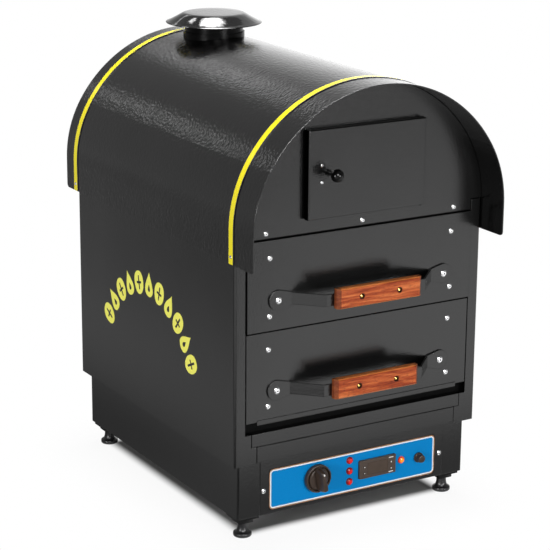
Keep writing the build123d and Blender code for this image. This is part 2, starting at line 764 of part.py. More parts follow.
opening_half = door_half - door_overlap
door_screw_x = door_screw_in - door_half
catch_low = door_low + ball_rise - catch_height / 2
tongue = side_top + skin - arch_low
with BuildPart() as arch_front_panel:
    with BuildSketch(upright(0)):
        arch_plate(roof_skin + seat, side_top + skin)
        with Locations((0, arch_low + tongue / 2)):
            Rectangle(2 * (stile_in - skin), tongue + 0.001)
    extrude(amount=-skin)
    block(-opening_half, opening_half, -1, 2 * skin, door_low + door_overlap,
          door_low + door_height - door_overlap, Mode.SUBTRACT)
    # tab that the magnetic catch meets
    block(-opening_half - 1, door_screw_x + catch_width / 2, 0, skin, catch_low, catch_low + catch_height)
    rods(arch_screws, -1, 3 * skin, hole, Mode.SUBTRACT)
save(arch_front_panel, "arch_front_panel")

with BuildPart() as arch_rear_panel:
    with BuildSketch(upright(body_depth - 2 * skin)):
        arch_plate(roof_half - inner_half, deck_z + seat)
    extrude(amount=-skin)
save(arch_rear_panel, "arch_rear_panel")

with BuildPart() as panel_screws:
    screws(arch_screws, 0, panel_screw_radius, panel_screw_head, panel_screw_length)
    screws(control_screws, base_front, panel_screw_radius, panel_screw_head, panel_screw_length)
    rods(rear_screws, body_depth, body_depth + rear_screw_head, panel_screw_radius)
    rods(rear_screws, body_depth - 2 * skin - 0.2, body_depth, screw_shank)
save(panel_screws, "panel_screws")

# ======== roof ========
with BuildPart() as roof_barrel:
    with BuildSketch(upright(-hood_front)):
        arch_sheet(0, roof_skin, roof_low)
    extrude(amount=-(hood_front + body_depth + hood_rear))
    fillet(roof_barrel.edges().filter_by(Axis.X).group_by(Axis.Z)[0], hood_corner)
    pillar(0, flue_y, crown_top - flue_inside, crown_top + flue_rise, flue_radius + seat, Mode.SUBTRACT)
    with Locations(*[(s * roof_half, y, roof_low + band_screw_rise) for s, y in trim_points]):
        Cylinder(trim_hole, 5 * roof_skin, rotation=(0, 90, 0), mode=Mode.SUBTRACT)
save(roof_barrel, "roof_barrel")

for name, depth in (("front", band_front_at), ("rear", body_depth + band_rear_past)):
    with BuildPart() as trim_band:
        with BuildSketch(upright(depth - band_width / 2)):
            arch_sheet(-seat - band_skin, -seat, roof_low + band_lift)
        extrude(amount=-band_width)
        with Locations(*[(s * roof_half, front + depth, roof_low + band_screw_rise) for s in (-1, 1)]):
            Cylinder(trim_hole, 10 * band_skin, rotation=(0, 90, 0), mode=Mode.SUBTRACT)
    save(trim_band, f"trim_band_{name}")

band_out = roof_half + seat + band_skin
with BuildPart() as trim_screws:
    for s, y in trim_points:
        with Locations((s * (band_out + band_screw_head / 2), y, roof_low + band_screw_rise)):
            Cone(band_screw_radius, band_screw_radius * 0.63, band_screw_head, rotation=(0, s * 90, 0))
        with Locations((s * (band_out - band_screw_length / 2), y, roof_low + band_screw_rise)):
            Cylinder(trim_shank, band_screw_length, rotation=(0, 90, 0))
save(trim_screws, "trim_screws")

# ======== chimney ========
with BuildPart() as flue_pipe:
    pillar(0, flue_y, crown_top - flue_inside, flue_top, flue_radius)
    pillar(0, flue_y, crown_top - flue_inside - 1, flue_top + 1, flue_radius - flue_skin, Mode.SUBTRACT)
save(flue_pipe, "flue_pipe")

with BuildPart() as flue_collar:
    low, high = crown_top - collar_drop, crown_top + collar_rise
    pillar(0, flue_y, low, high, flue_radius + seat + collar_skin)
    pillar(0, flue_y, low - 1, high + 1, flue_radius + seat, Mode.SUBTRACT)
    reach = flue_radius + seat + collar_skin + 20
    with BuildSketch(upright(body_depth - flue_from_rear - reach)):
        arch_plate(-seat, spring_z - 1)
    extrude(amount=-2 * reach, mode=Mode.SUBTRACT)
save(flue_collar, "flue_collar")

with BuildPart() as flue_cap:
    with BuildSketch(section(0, flue_y)):
        with BuildLine():
            Polyline((0, cap_top), (cap_flat_radius, cap_top),
                     (cap_rim_radius - cap_brim, cap_low + cap_skin),
                     (cap_rim_radius, cap_low + cap_skin), (cap_rim_radius, cap_low),
                     (cap_rim_radius - cap_brim - 0.8, cap_low),
                     (cap_flat_radius - 0.6, cap_top - cap_skin), (0, cap_top - cap_skin), (0, cap_top))
        make_face()
    revolve(axis=Axis((0, flue_y, 0), (0, 0, 1)))
    leg_high, leg_low = cap_top - cap_skin, flue_top - cap_leg_drop
    leg_at = flue_radius - flue_skin - seat - cap_leg_in - cap_leg_skin / 2
    with Locations((0, flue_y, (leg_high + leg_low) / 2)):
        with PolarLocations(leg_at, 3, start_angle=30):
            Box(cap_leg_skin, cap_leg_width, leg_high - leg_low)
save(flue_cap, "flue_cap")

# ======== small door ========
door_back = -door_stand
door_face = -door_stand - door_depth
pivot_d = (door_back + door_face) / 2
pivot_x = door_half - pivot_in
pivot_y = front + pivot_d
door_high = door_low + door_height
pivot_lows = (door_low + skin + seat, door_high - skin - seat - pivot_plate)
ball_x, ball_z = ball_in - door_half, door_low + ball_rise
ball_at = [(ball_x, ball_z)]
door_screw_points = [(door_screw_x, door_low + rise) for rise in door_screw_rise]
with BuildPart() as door_leaf:
    block(-door_half, door_half, door_face, door_back, door_low, door_high)
    fillet(door_leaf.faces().sort_by(Axis.Y)[0].edges(), door_corner)
    block(-door_half + skin, door_half - skin, door_face + skin, door_back, door_low + skin,
          door_high - skin, Mode.SUBTRACT)
    rods(ball_at, door_face - 1, door_face + 2 * skin, stem_radius - 1 + screw_hole_clear, Mode.SUBTRACT)
    rods(door_screw_points, door_face - 1, door_face + 2 * skin, trim_hole, Mode.SUBTRACT)
    pillar(pivot_x, pivot_y, door_low - 1, door_high + 1, pivot_radius + pivot_clear, Mode.SUBTRACT)
    # notches in the hinge-side flange, so that the brackets stay clear as the door opens
    for z0 in pivot_lows:
        block(door_half - skin - 0.2, door_half + 1, pivot_d, door_back + 1, z0 - pivot_notch,
              z0 + pivot_plate + pivot_notch, Mode.SUBTRACT)
save(door_leaf, "door_leaf")

with BuildPart() as door_pivots:
    # two brackets inside the pan, bolted to the arched panel, each with its upright pin
    for k, z0 in enumerate(pivot_lows):
        pin_low = door_low - pivot_past if k == 0 else door_high + pivot_past - pivot_length
        z1 = z0 + pivot_plate
        block(pivot_x - pivot_arm, pivot_x, pivot_d - pivot_plate_half, pivot_d + pivot_plate_half, z0, z1)
        block(pivot_x - pivot_foot_far, pivot_x - pivot_foot_near, pivot_d - pivot_plate_half, 0, z0, z1)
        block(pivot_x - pivot_foot_far, pivot_x - pivot_foot_near, -skin, 0,
              z0 - pivot_foot_height * k, z1 + pivot_foot_height * (1 - k))
        pillar(pivot_x, pivot_y, z0, z1, pivot_boss)
        pillar(pivot_x, pivot_y, pin_low, pin_low + pivot_length, pivot_radius)
save(door_pivots, "door_pivots")

with BuildPart() as door_knob:
    with Locations((ball_x, front + door_face - ball_reach, ball_z)):
        Sphere(ball_radius)
    rods(ball_at, door_face - ball_reach, door_face, stem_radius)
    rods(ball_at, door_face - stem_foot_height, door_face, stem_radius + stem_foot)
    rods(ball_at, door_face, door_face + skin + stem_end, stem_radius - 1)
save(door_knob, "door_knob")

with BuildPart() as door_catch:
    block(door_screw_x - catch_width / 2, door_screw_x + catch_width / 2, door_face + skin, -catch_gap,
          catch_low, catch_low + catch_height)
    rods(door_screw_points, door_face, -catch_gap + 1, trim_shank + thread_clear, Mode.SUBTRACT)
    rods(ball_at, door_face, 0, catch_notch, Mode.SUBTRACT)
save(door_catch, "door_catch")

with BuildPart() as door_screws:
    screws(door_screw_points, door_face, door_screw_radius, door_screw_head, door_screw_length, trim_shank)
save(door_screws, "door_screws")

# ======== oven inside ========
near_rear = (liner_rear - 4 * liner_skin, liner_rear + 4 * liner_skin)
with BuildPart() as oven_liner:
    block(-liner_half, liner_half, liner_front, liner_rear, liner_low, liner_top)
    block(-wall_x, wall_x, liner_front - 1, liner_rear - liner_skin,
          liner_low + liner_skin, liner_top - liner_skin, Mode.SUBTRACT)
    # front flange with the drawer mouth and the tray mouth
    block(-inner_half + liner_flange_in, inner_half - liner_flange_in, liner_front,
          liner_front + liner_skin, liner_low, deck_z - seat)
    mouth = (liner_front - 1, liner_front + 2 * liner_skin)
    block(mouth_ledge - wall_x, wall_x - mouth_ledge, *mouth, mouth_low, liner_top - liner_skin,
          Mode.SUBTRACT)
    block(-tray_mouth_half, tray_mouth_half, *mouth, liner_low + liner_skin, rail_low - front_gap,
          Mode.SUBTRACT)
    rods(element_ends, *near_rear, element_radius + seat, Mode.SUBTRACT)
    rods(probe_at, *near_rear, probe_radius + seat, Mode.SUBTRACT)
    pillar(0, flue_y, liner_top - 2 * liner_skin, liner_top + 1, vent_radius + seat, Mode.SUBTRACT)
save(oven_liner, "oven_liner")

with BuildPart() as vent_spigot:
    vent_low, vent_high = liner_top - 2 * liner_skin, deck_z + skin + vent_rise
    pillar(0, flue_y, vent_low, vent_low + liner_skin, vent_radius + vent_flange)
    pillar(0, flue_y, vent_low, vent_high, vent_radius)
    pillar(0, flue_y, vent_low - 1, vent_high + 1, vent_radius - liner_skin, Mode.SUBTRACT)
save(vent_spigot, "vent_spigot")

with BuildPart() as insulation:
    pad_front = liner_front + liner_skin + seat
    pad_low, pad_high = body_low + skin + seat, deck_z - seat
    for s in (-1, 1):
        flank(s, liner_half + seat, inner_half, pad_front, pad_rear, pad_low, pad_high)
    block(-liner_half, liner_half, pad_front, liner_rear, liner_top + seat, pad_high)
    block(-liner_half, liner_half, liner_rear + seat, pad_rear, pad_low, pad_high)
    rods(element_ends, liner_rear - 5, pad_rear + 1, element_radius + seat, Mode.SUBTRACT)
    rods(probe_at, liner_rear - 5, pad_rear + 1, probe_radius + seat, Mode.SUBTRACT)
    pillar(0, flue_y, liner_top - 1, deck_z + 1, vent_radius + seat, Mode.SUBTRACT)
save(insulation, "insulation")

with BuildPart() as heating_elements:
    half, turn = element_half, element_turn
    back, near = front + liner_rear + element_past, front + element_front
    for z in element_levels:
        with BuildLine() as run:
            Line((-half, back, z), (-half, near + turn, z))
            RadiusArc((-half, near + turn, z), (turn - half, near, z), -turn)
            Line((turn - half, near, z), (half - turn, near, z))
            RadiusArc((half - turn, near, z), (half, near + turn, z), -turn)
            Line((half, near + turn, z), (half, back, z))
        with BuildSketch(section(-half, back, z)):
            Circle(element_radius)
        sweep(path=run.wire())
save(heating_elements, "heating_elements")

with BuildPart() as temperature_probe:
    rods(probe_at, liner_rear - probe_inside, liner_rear + probe_past, probe_radius)
    rods(probe_at, liner_rear - liner_skin - probe_flange_skin, liner_rear - liner_skin,
         probe_radius + probe_flange)
save(temperature_probe, "temperature_probe")

with BuildPart() as drawer_runners:
    for z0 in (lower_z, upper_z):
        flange_top = z0 + box_rise + box_height
        low = flange_top - liner_skin - runner_clear - liner_skin
        high = flange_top + runner_play + liner_skin
        for s in (-1, 1):
            flank(s, wall_x - liner_skin, wall_x, runner_front, runner_rear, low, high)
            flank(s, wall_x - runner_ledge, wall_x, runner_front, runner_rear, low, low + liner_skin)
            flank(s, wall_x - runner_ledge, wall_x, runner_front, runner_rear, high - liner_skin, high)
save(drawer_runners, "drawer_runners")

with BuildPart() as crumb_tray:
    tray_high = tray_low + tray_front_height
    block(-tray_front_half, tray_front_half, 0, front_pan, tray_low, tray_high)
    block(-tray_front_half + skin, tray_front_half - skin, skin, front_pan - liner_skin, tray_low - 1,
          tray_high - skin, Mode.SUBTRACT)
    tray_rear = liner_rear - tray_end
    block(-tray_half, tray_half, front_pan - liner_skin, tray_rear, tray_floor, tray_floor + tray_wall)
    block(-tray_half + liner_skin, tray_half - liner_skin, front_pan, tray_rear - liner_skin,
          tray_floor + liner_skin, tray_floor + tray_wall + 1, Mode.SUBTRACT)
save(crumb_tray, "crumb_tray")

# ======== drawers ========
front_screw_x = box_half - front_screw_in
lip_half = drawer_half - lip_side
for name, z0, stand in (("upper", upper_z, upper_stand), ("lower", lower_z, 0.0)):
    z1 = z0 + drawer_height
    screw_points = [(s * front_screw_x, z0 + rise) for s in (-1, 1) for rise in front_screw_rise]
    eye_z = z0 + handle_rise
    eye_points = [(s * handle_screw_x, eye_z) for s in (-1, 1)]
    grip_z = eye_z + grip_lift
    grip_points = [(s * grip_screw_x, grip_z) for s in (-1, 1)]
    bar_face = -stand - handle_reach
    box_floor, box_top = z0 + box_rise, z0 + box_rise + box_height

    with BuildPart() as drawer_front:
        block(-drawer_half, drawer_half, -stand, front_pan, z0, z1)
        block(-drawer_half + skin, drawer_half - skin, -stand + skin, front_pan + 1, z0 + skin, z1 - skin,
              Mode.SUBTRACT)
        if name == "lower":
            block(-lip_half, lip_half, -lip_proud, skin, z0 - lip_drop, z0 + lip_root)
        rods(screw_points + eye_points, -stand - 1, -stand + 2 * skin, hole, Mode.SUBTRACT)
    save(drawer_front, f"drawer_{name}_front")

    with BuildPart() as drawer_box:
        block(-box_half, box_half, front_pan - liner_skin, box_rear, box_floor, box_top)
        block(-box_half + liner_skin, box_half - liner_skin, front_pan, box_rear - liner_skin,
              box_floor + liner_skin, box_top + 1, Mode.SUBTRACT)
        for s in (-1, 1):
            flank(s, box_half - 0.5, box_half + box_flange, runner_front, box_rear,
                  box_top - liner_skin, box_top)
        # the front wall closes the drawer front from behind and takes its screws
        wall_half = drawer_half - skin - seat
        block(-wall_half, wall_half, front_pan - liner_skin, front_pan, z0 + skin + seat, z1 - skin - seat)
        rods(screw_points, 0, front_pan + 1, hole, Mode.SUBTRACT)
        with Locations((0, front + (front_pan + box_rear) / 2, box_floor)):
            with GridLocations(box_hole_pitch, box_hole_pitch, 6, 7):
                Cylinder(box_hole_radius, 6 * liner_skin, mode=Mode.SUBTRACT)
    save(drawer_box, f"drawer_{name}_box")

    with BuildPart() as handle_strap:
        neck_x = handle_screw_x - handle_neck
        bend_x = neck_x - handle_run
        foot_y, bar_y = front - stand - handle_skin / 2, front + bar_face + handle_skin / 2
        plan = [(-handle_screw_x, foot_y), (-neck_x, foot_y), (-bend_x, bar_y),
                (bend_x, bar_y), (neck_x, foot_y), (handle_screw_x, foot_y)]
        with BuildSketch(Plane.XY.offset(eye_z - handle_bar_half)):
            outline = strip_outline(plan, handle_skin)
            with BuildLine():
                Polyline(*outline, outline[0])
            make_face()
        extrude(amount=2 * handle_bar_half)
        flat_x, flat_half = handle_screw_x - handle_eye_flat, handle_eye_radius - handle_eye_drop
        with BuildSketch(upright(-stand)):
            for s in (-1, 1):
                with Locations((s * handle_screw_x, eye_z)):
                    Circle(handle_eye_radius)
                with BuildLine():
                    Polyline((s * flat_x, eye_z + flat_half), (s * neck_x, eye_z + handle_neck_half),
                             (s * neck_x, eye_z - handle_neck_half), (s * flat_x, eye_z - flat_half),
                             (s * flat_x, eye_z + flat_half))
                make_face()
        extrude(amount=handle_skin)
        rods(eye_points, -stand - 2 * handle_skin, -stand + 1, hole, Mode.SUBTRACT)
        rods(grip_points, bar_face - 1, bar_face + 2 * handle_skin, hole, Mode.SUBTRACT)
    save(handle_strap, f"drawer_{name}_handle")

    with BuildPart() as grip:
        nose_d = bar_face - grip_depth
        block(-grip_half, grip_half, nose_d, bar_face, grip_z - grip_height / 2, grip_z + grip_height / 2)
        nose = grip.faces().sort_by(Axis.Y)[0]
        chamfer(nose.edges().filter_by(Axis.Z), grip_bevel)
        nose = grip.faces().sort_by(Axis.Y)[0]
        chamfer(nose.edges().filter_by(Axis.X), grip_edge)
        rods(grip_points, nose_d - 1, bar_face + 1, hole, Mode.SUBTRACT)
        rods(grip_points, nose_d - 1, nose_d + grip_recess, grip_recess_radius, Mode.SUBTRACT)
    save(grip, f"drawer_{name}_grip")

    with BuildPart() as drawer_screws:
        screws(screw_points, -stand, front_screw_radius, front_screw_head, front_pan + stand + screw_end)
        screws(eye_points, -stand - handle_skin, handle_screw_radius, handle_screw_head,
               handle_skin + handle_screw_length)
        screws(grip_points, nose_d + grip_recess, grip_screw_radius, grip_screw_head,
               grip_depth - grip_recess + handle_skin + screw_end)
    save(drawer_screws, f"drawer_{name}_screws")
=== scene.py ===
"""Baked potato oven: black powder-coated sheet steel, barrel roof with yellow trim bands, chimney,
two drawers with wooden grips and a blue control strip. Metres, front towards -Y, floor at Z = 0."""
from math import cos, pi, radians, sin

import bpy
import numpy as np
from mathutils import Matrix, Vector


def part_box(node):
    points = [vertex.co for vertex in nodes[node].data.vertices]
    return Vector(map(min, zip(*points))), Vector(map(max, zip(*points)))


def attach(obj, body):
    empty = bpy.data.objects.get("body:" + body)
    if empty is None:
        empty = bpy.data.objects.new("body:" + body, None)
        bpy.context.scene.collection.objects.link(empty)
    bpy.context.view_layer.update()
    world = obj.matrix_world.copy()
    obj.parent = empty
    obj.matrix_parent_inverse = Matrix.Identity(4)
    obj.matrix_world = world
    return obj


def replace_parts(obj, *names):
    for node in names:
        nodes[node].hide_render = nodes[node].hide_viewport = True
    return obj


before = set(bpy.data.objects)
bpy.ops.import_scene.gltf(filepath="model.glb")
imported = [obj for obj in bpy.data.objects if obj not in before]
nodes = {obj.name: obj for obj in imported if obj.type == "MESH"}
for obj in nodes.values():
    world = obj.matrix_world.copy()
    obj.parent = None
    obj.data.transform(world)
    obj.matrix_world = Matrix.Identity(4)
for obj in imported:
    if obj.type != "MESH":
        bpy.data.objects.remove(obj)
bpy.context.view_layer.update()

MM = 0.001
FRONT = -277 * MM            # Y of the body's front face
OVERLAY_FACE = FRONT + 10.8 * MM                  # Y of the blue film in the recessed base
BEZEL_FACE = FRONT + 6.8 * MM                     # Y of the controller's bezel
SIDE_FACE = -240 * MM        # X of the left side panel's face
SELECTOR = (-74.5 * MM, 86.5 * MM)                # (x, z) of its axis, as for the next three
CONTROL = (46.5 * MM, 83.3 * MM)
LAMPS = [(-9 * MM, z * MM) for z in (104.4, 85.2, 66.0)]
AMBER = (97 * MM, 85.2 * MM)
FLUE = (0.0, FRONT + 497 * MM)                    # (x, y) of its axis
LAMP_RADIUS = 6.5            # this and the sizes below are in mm
DRAWERS = (("upper", 364.2), ("lower", 210.2))    # Z of each front's lower edge
GRIP_SCREW_X, GRIP_SCREW_RISE = 36.5, 53
POLE = 0.02                  # radius of the small ring that closes a turned profile at its axis


# ---------------------------------------------------------------- shader maths
class Val:
    """A socket in shader maths: + - * / ** on it add Math nodes."""

    def __init__(self, look, socket):
        self.look, self.socket = look, socket

    def _math(self, operation, *values):
        return self.look.node("ShaderNodeMath", {"operation": operation}, dict(enumerate(values)))

    def __add__(self, other):
        return self._math("ADD", self, other)

    def __sub__(self, other):
        return self._math("SUBTRACT", self, other)

    def __rsub__(self, other):
        return self._math("SUBTRACT", other, self)

    def __mul__(self, other):
        return self._math("MULTIPLY", self, other)

    def __truediv__(self, other):
        return self._math("DIVIDE", self, other)

    def __pow__(self, other):
        return self._math("POWER", self, other)

    __radd__, __rmul__ = __add__, __mul__

    def abs(self):
        return self._math("ABSOLUTE", self)

    def sin(self):
        return self._math("SINE", self)

    def root(self):
        return self._math("SQRT", self)

    def above(self, edge):
        return self._math("GREATER_THAN", self, edge)

    def below(self, edge):
        return self._math("LESS_THAN", self, edge)

    def larger(self, other):
        return self._math("MAXIMUM", self, other)

    def smaller(self, other):
        return self._math("MINIMUM", self, other)

    def step(self, low, high):
        """0 below low, 1 above high, smooth between."""
        return self.look.node("ShaderNodeMapRange", {"interpolation_type": "SMOOTHSTEP"},
                              {0: self, 1: low, 2: high, 3: 0.0, 4: 1.0})


class Look:
    """A material whose nodes are built from Val expressions. Textures use Object coordinates."""

    def __init__(self, name):
        self.mat = bpy.data.materials.new(name)
        self.mat.use_nodes = True
        self.tree = self.mat.node_tree
        self.tree.nodes.clear()
        self.place = self.node("ShaderNodeTexCoord", out="Object")

    def node(self, kind, settings=None, inputs=None, out=0):
        made = self.tree.nodes.new(kind)
        for key, value in (settings or {}).items():
            if key == "stops":
                ramp = made.color_ramp
                while len(ramp.elements) < len(value):
                    ramp.elements.new(0.5)
                for element, (at, colour) in zip(ramp.elements, value):
                    element.position, element.color = at, (*colour, 1.0)
            else:
                setattr(made, key, value)
        for key, value in (inputs or {}).items():
            if isinstance(value, Val):
                self.tree.links.new(value.socket, made.inputs[key])
            elif value is not None:
                made.inputs[key].default_value = value
        return Val(self, made.outputs[out])

    def axes(self):
        """x, y and z of the Object coordinates."""
        split = self.node("ShaderNodeSeparateXYZ", None, {0: self.place})
        links = split.socket.node.outputs
        return [Val(self, links[k]) for k in range(3)]

    def noise(self, scale, detail=2.0, rough=0.5, stretch=None):
        at = self.place
        if stretch:
            at = self.node("ShaderNodeMapping", None, {"Vector": at, "Scale": stretch})
        return self.node("ShaderNodeTexNoise", None,
                         {"Vector": at, "Scale": scale, "Detail": detail, "Roughness": rough})

    def mix(self, factor, a, b):
        a, b = (v if isinstance(v, Val) else (*v, 1.0) for v in (a, b))
        return self.node("ShaderNodeMix", {"data_type": "RGBA"}, {0: factor, 6: a, 7: b}, out=2)

    def ramp(self, factor, stops):
        return self.node("ShaderNodeValToRGB", {"stops": stops}, {0: factor})

    def bump(self, height, strength, distance, over=None):
        """Bumped normal, over another normal when one is given."""
        return self.node("ShaderNodeBump", None, {"Height": height, "Strength": strength,
                                                  "Distance": distance, "Normal": over})

    def principled(self, **sockets):
        """Principled shader; keys are socket names with _ for spaces."""
        values = {key.replace("_", " "): value for key, value in sockets.items()}
        for key, value in values.items():
            if isinstance(value, tuple) and len(value) == 3 and "Radius" not in key:
                values[key] = (*value, 1.0)
        return self.node("ShaderNodeBsdfPrincipled", None, values)

    def finish(self, **sockets):
        return self.surface(self.principled(**sockets))

    def surface(self, shader):
        out = self.tree.nodes.new("ShaderNodeOutputMaterial")
        self.tree.links.new(shader.socket, out.inputs["Surface"])
        return self.mat


# ---------------------------------------------------------------- finishes
POWDER_TONE = 0.0022
PRINT_BLACK = (0.012, 0.010, 0.010)


def length(a, b):
    """Length of the vector (a, b) of two Vals."""
    return (a * a + b * b).root()


def powder_coat(name, rough, peel_depth, peel_scale, shade_left_of=None):
    """Black powder coat: orange peel of about 2 mm cells over a finer grain, slow waves in the
    sheet, cloudy gloss and a few faint rub marks. Left of the given X it is a flat, non-reflective
    black edge: painted shade for a side face that sits in shadow."""
    look = Look(name)
    cloud = look.noise(7.0, 3.0)
    peel = look.noise(peel_scale, 0.6, 0.4)
    grain = look.noise(1300.0, 1.0)
    rub = look.noise(38.0, 5.0, 0.65, stretch=(1.0, 1.0, 0.25)).step(0.62, 0.80)
    base = look.mix(cloud, (POWDER_TONE * 0.8,) * 3, (POWDER_TONE * 1.3,) * 3)
    base = look.mix(rub * 0.3, base, (POWDER_TONE * 3.0,) * 3)
    gloss = rough + (cloud - 0.5) * 0.06 + (grain - 0.5) * 0.08 + rub * 0.04
    edges = look.node("ShaderNodeBevel", {"samples": 6}, {"Radius": 0.0015})
    waves = look.bump(look.noise(9.0, 1.0), 1.0, 0.0006, edges)
    normal = look.bump(peel * 0.92 + grain * 0.08, 1.0, 0.00036 * peel_depth, waves)
    shader = look.principled(Base_Color=base, Roughness=gloss, Specular_IOR_Level=0.72,
                             Normal=normal)
    if shade_left_of is not None:
        # painted shade: left of this X the face is a flat black diffuse surface
        side_shade = look.node("ShaderNodeBsdfDiffuse", None, {"Color": (0.0015, 0.0015, 0.0015, 1.0)})
        edge = look.axes()[0].below(shade_left_of)
        shader = look.node("ShaderNodeMixShader", None, {0: edge, 1: shader, 2: side_shade})
    return look.surface(shader)


def enamel_black(name, tone, rough, wave=1.0, shine=0.5):
    """Smooth glossy black enamel with slight waves and dust specks."""
    look = Look(name)
    ripple = look.noise(95.0, 1.5, 0.4)
    dust = look.noise(900.0, 1.0).step(0.68, 0.75)
    base = look.mix(dust * 0.3, (tone, tone, tone), (tone * 5,) * 3)
    normal = look.bump(ripple, 0.25 * wave, 0.0008)
    return look.finish(Base_Color=base, Roughness=rough + dust * 0.12, Specular_IOR_Level=shine,
                       Normal=normal)


def band_enamel(name, centre):
    """Yellow enamel on a trim band whose middle has the Y centre, with thin blue-black edges
    painted as shade where the band turns down to the roof."""
    look = Look(name)
    # painted shade along both edges of the band
    edge = (look.axes()[1] - centre).abs().step(0.0061, 0.0068)
    cloud = look.noise(60.0, 3.0)
    yellow = look.mix(cloud, (0.93, 0.78, 0.0), (1.0, 0.87, 0.002))
    scuff = look.noise(700.0, 3.0, 0.7).step(0.66, 0.8) * 0.25
    base = look.mix(scuff, yellow, (0.62, 0.5, 0.02))
    base = look.mix(edge, base, (0.012, 0.012, 0.03))
    return look.finish(Base_Color=base, Roughness=0.12 + cloud * 0.05, Specular_IOR_Level=0.8,
                       Normal=look.bump(look.noise(260.0), 0.3, 0.0004))


def stained_wood(name, middle, back):
    """Red-brown stained hardwood of a grip whose middle has the Z middle and whose rear face has
    the Y back: wandering long grain along X, dark pores and flecks, lighter top and bottom edges,
    dark end grain, a back face painted near black as shade, and painted shade in and round the two
    screw recesses."""
    look = Look(name)
    x, y, z = look.axes()
    drift = look.noise(16.0, 3.0, stretch=(0.3, 1.0, 1.0))
    along = look.noise(90.0, 6.0, 0.68, stretch=(0.12, 1.0, 1.0))
    streak = look.noise(420.0, 4.0, 0.6, stretch=(0.05, 1.0, 1.0))
    rings = ((z * 520.0 + drift * 38.0 + along * 7.0).sin() * 0.5 + 0.5) ** 2.0
    pores = look.noise(1300.0, 2.0, 0.5, stretch=(0.10, 1.0, 1.0)).step(0.60, 0.68)
    tone = along * 0.62 + streak * 0.34 + rings * 0.10 - 0.03
    base = look.ramp(tone, [(0.28, (0.08, 0.008, 0.002)), (0.42, (0.33, 0.046, 0.008)),
                            (0.54, (0.57, 0.126, 0.030)), (0.72, (0.82, 0.265, 0.080))])
    flecks = look.noise(620.0, 2.0, 0.6).step(0.56, 0.70)
    base = look.mix(flecks * 0.5, base, (0.13, 0.020, 0.006))
    smear = look.noise(60.0, 3.0, stretch=(0.5, 1.0, 1.0)).step(0.50, 0.72)
    base = look.mix(smear * 0.35, base, (0.24, 0.030, 0.008))
    base = look.mix(pores * 0.8, base, (0.05, 0.009, 0.004))
    edge = (z - middle).abs().step(0.0147, 0.0160)
    base = look.mix(edge * 0.6, base, (0.80, 0.26, 0.06))
    base = look.mix(x.abs().step(0.0758, 0.0772) * 0.7, base, (0.10, 0.028, 0.012))
    # painted shade: the back face near black, so it reads dark where the drawer front reflects it
    base = look.mix(y.above(back - 1.2 * MM), base, (0.012, 0.005, 0.003))
    # painted shade in and round the two screw recesses
    screw_recess_shade = 1.0 - (length(x.abs() - GRIP_SCREW_X * MM, z - middle) / MM).step(4.4, 5.8)
    base = look.mix(screw_recess_shade * 0.95, base, (0.035, 0.008, 0.004))
    height = streak * 0.5 - pores * 0.9 + along * 0.3
    return look.finish(Base_Color=base, Roughness=0.38 + pores * 0.25, Specular_IOR_Level=0.2,
                       Normal=look.bump(height, 0.5, 0.00025))


def bright_zinc(name, recesses=(), brass_beyond=None):
    """Bright zinc plate with fine turning marks. The drive recesses, given as (|x|, z, head radius)
    in mm, are painted dark and non-metal as shade. Heads in front of the Y brass_beyond are brassy."""
    look = Look(name)
    x, y, z = look.axes()
    fine = look.noise(2600.0, 2.0)
    tarnish = look.noise(240.0, 3.0).step(0.55, 0.8)
    base = look.mix(tarnish * 0.4, (0.98, 0.98, 0.99), (0.74, 0.74, 0.72))
    if brass_beyond is not None:
        brassy = look.mix(tarnish, (0.98, 0.66, 0.20), (0.66, 0.36, 0.10))
        base = look.mix(y.below(brass_beyond), base, brassy)
    metal = 1.0
    if recesses:
        side, recess_shade = x.abs(), None
        for px, pz, radius in recesses:
            away = length(side - px * MM, z - pz * MM) / (radius * MM)
            recess_shade = away if recess_shade is None else recess_shade.smaller(away)
        # painted shade: dark and non-metal near the middle of each recess
        recess_shade = 1.0 - recess_shade.step(0.20, 0.34)
        base, metal = look.mix(recess_shade, base, (0.012, 0.012, 0.012)), 1.0 - recess_shade
    return look.finish(Base_Color=base, Metallic=metal, Roughness=0.18 + fine * 0.08,
                       Normal=look.bump(fine, 0.12, 0.0001))


def rolled_steel(name, tone, heat=0.0, gap_shade_before=None):
    """Bare sheet steel, brushed along its length, with faint stains and heat tint. In front of the
    given Y it is painted black as shade, for the front edge that shows in a dark gap."""
    look = Look(name)
    lines = look.noise(900.0, 3.0, 0.6, stretch=(1.0, 0.03, 1.0))
    stain = look.noise(14.0, 4.0, 0.6)
    base = look.mix(stain, (tone * 0.82,) * 3, (tone * 1.08, tone * 1.06, tone * 1.02))
    if heat:
        tint = look.noise(5.0, 3.0).step(0.45, 0.75)
        base = look.mix(tint * heat, base, (0.30, 0.19, 0.09))
    metal, shine = 1.0, 0.5
    if gap_shade_before is not None:
        # painted shade on the front edge that shows in the gap
        paint = look.axes()[1].below(gap_shade_before)
        base, metal, shine = look.mix(paint, base, (0.003,) * 3), 1.0 - paint, 0.05
    return look.finish(Base_Color=base, Metallic=metal,
                       Roughness=0.30 + lines * 0.18 + stain * 0.08,
                       Specular_IOR_Level=shine, Normal=look.bump(lines, 0.25, 0.0001))


def moulded(name, colour, rough, shine=0.5):
    """Moulded plastic: fine grain in gloss and height, a little colour drift."""
    look = Look(name)
    grain = look.noise(1700.0, 2.0)
    cloud = look.noise(90.0, 2.0)
    base = look.mix(cloud, tuple(c * 0.82 for c in colour), tuple(c * 1.2 for c in colour))
    return look.finish(Base_Color=base, Roughness=rough + (grain - 0.5) * 0.16,
                       Specular_IOR_Level=shine, Normal=look.bump(grain, 0.3, 0.00008))


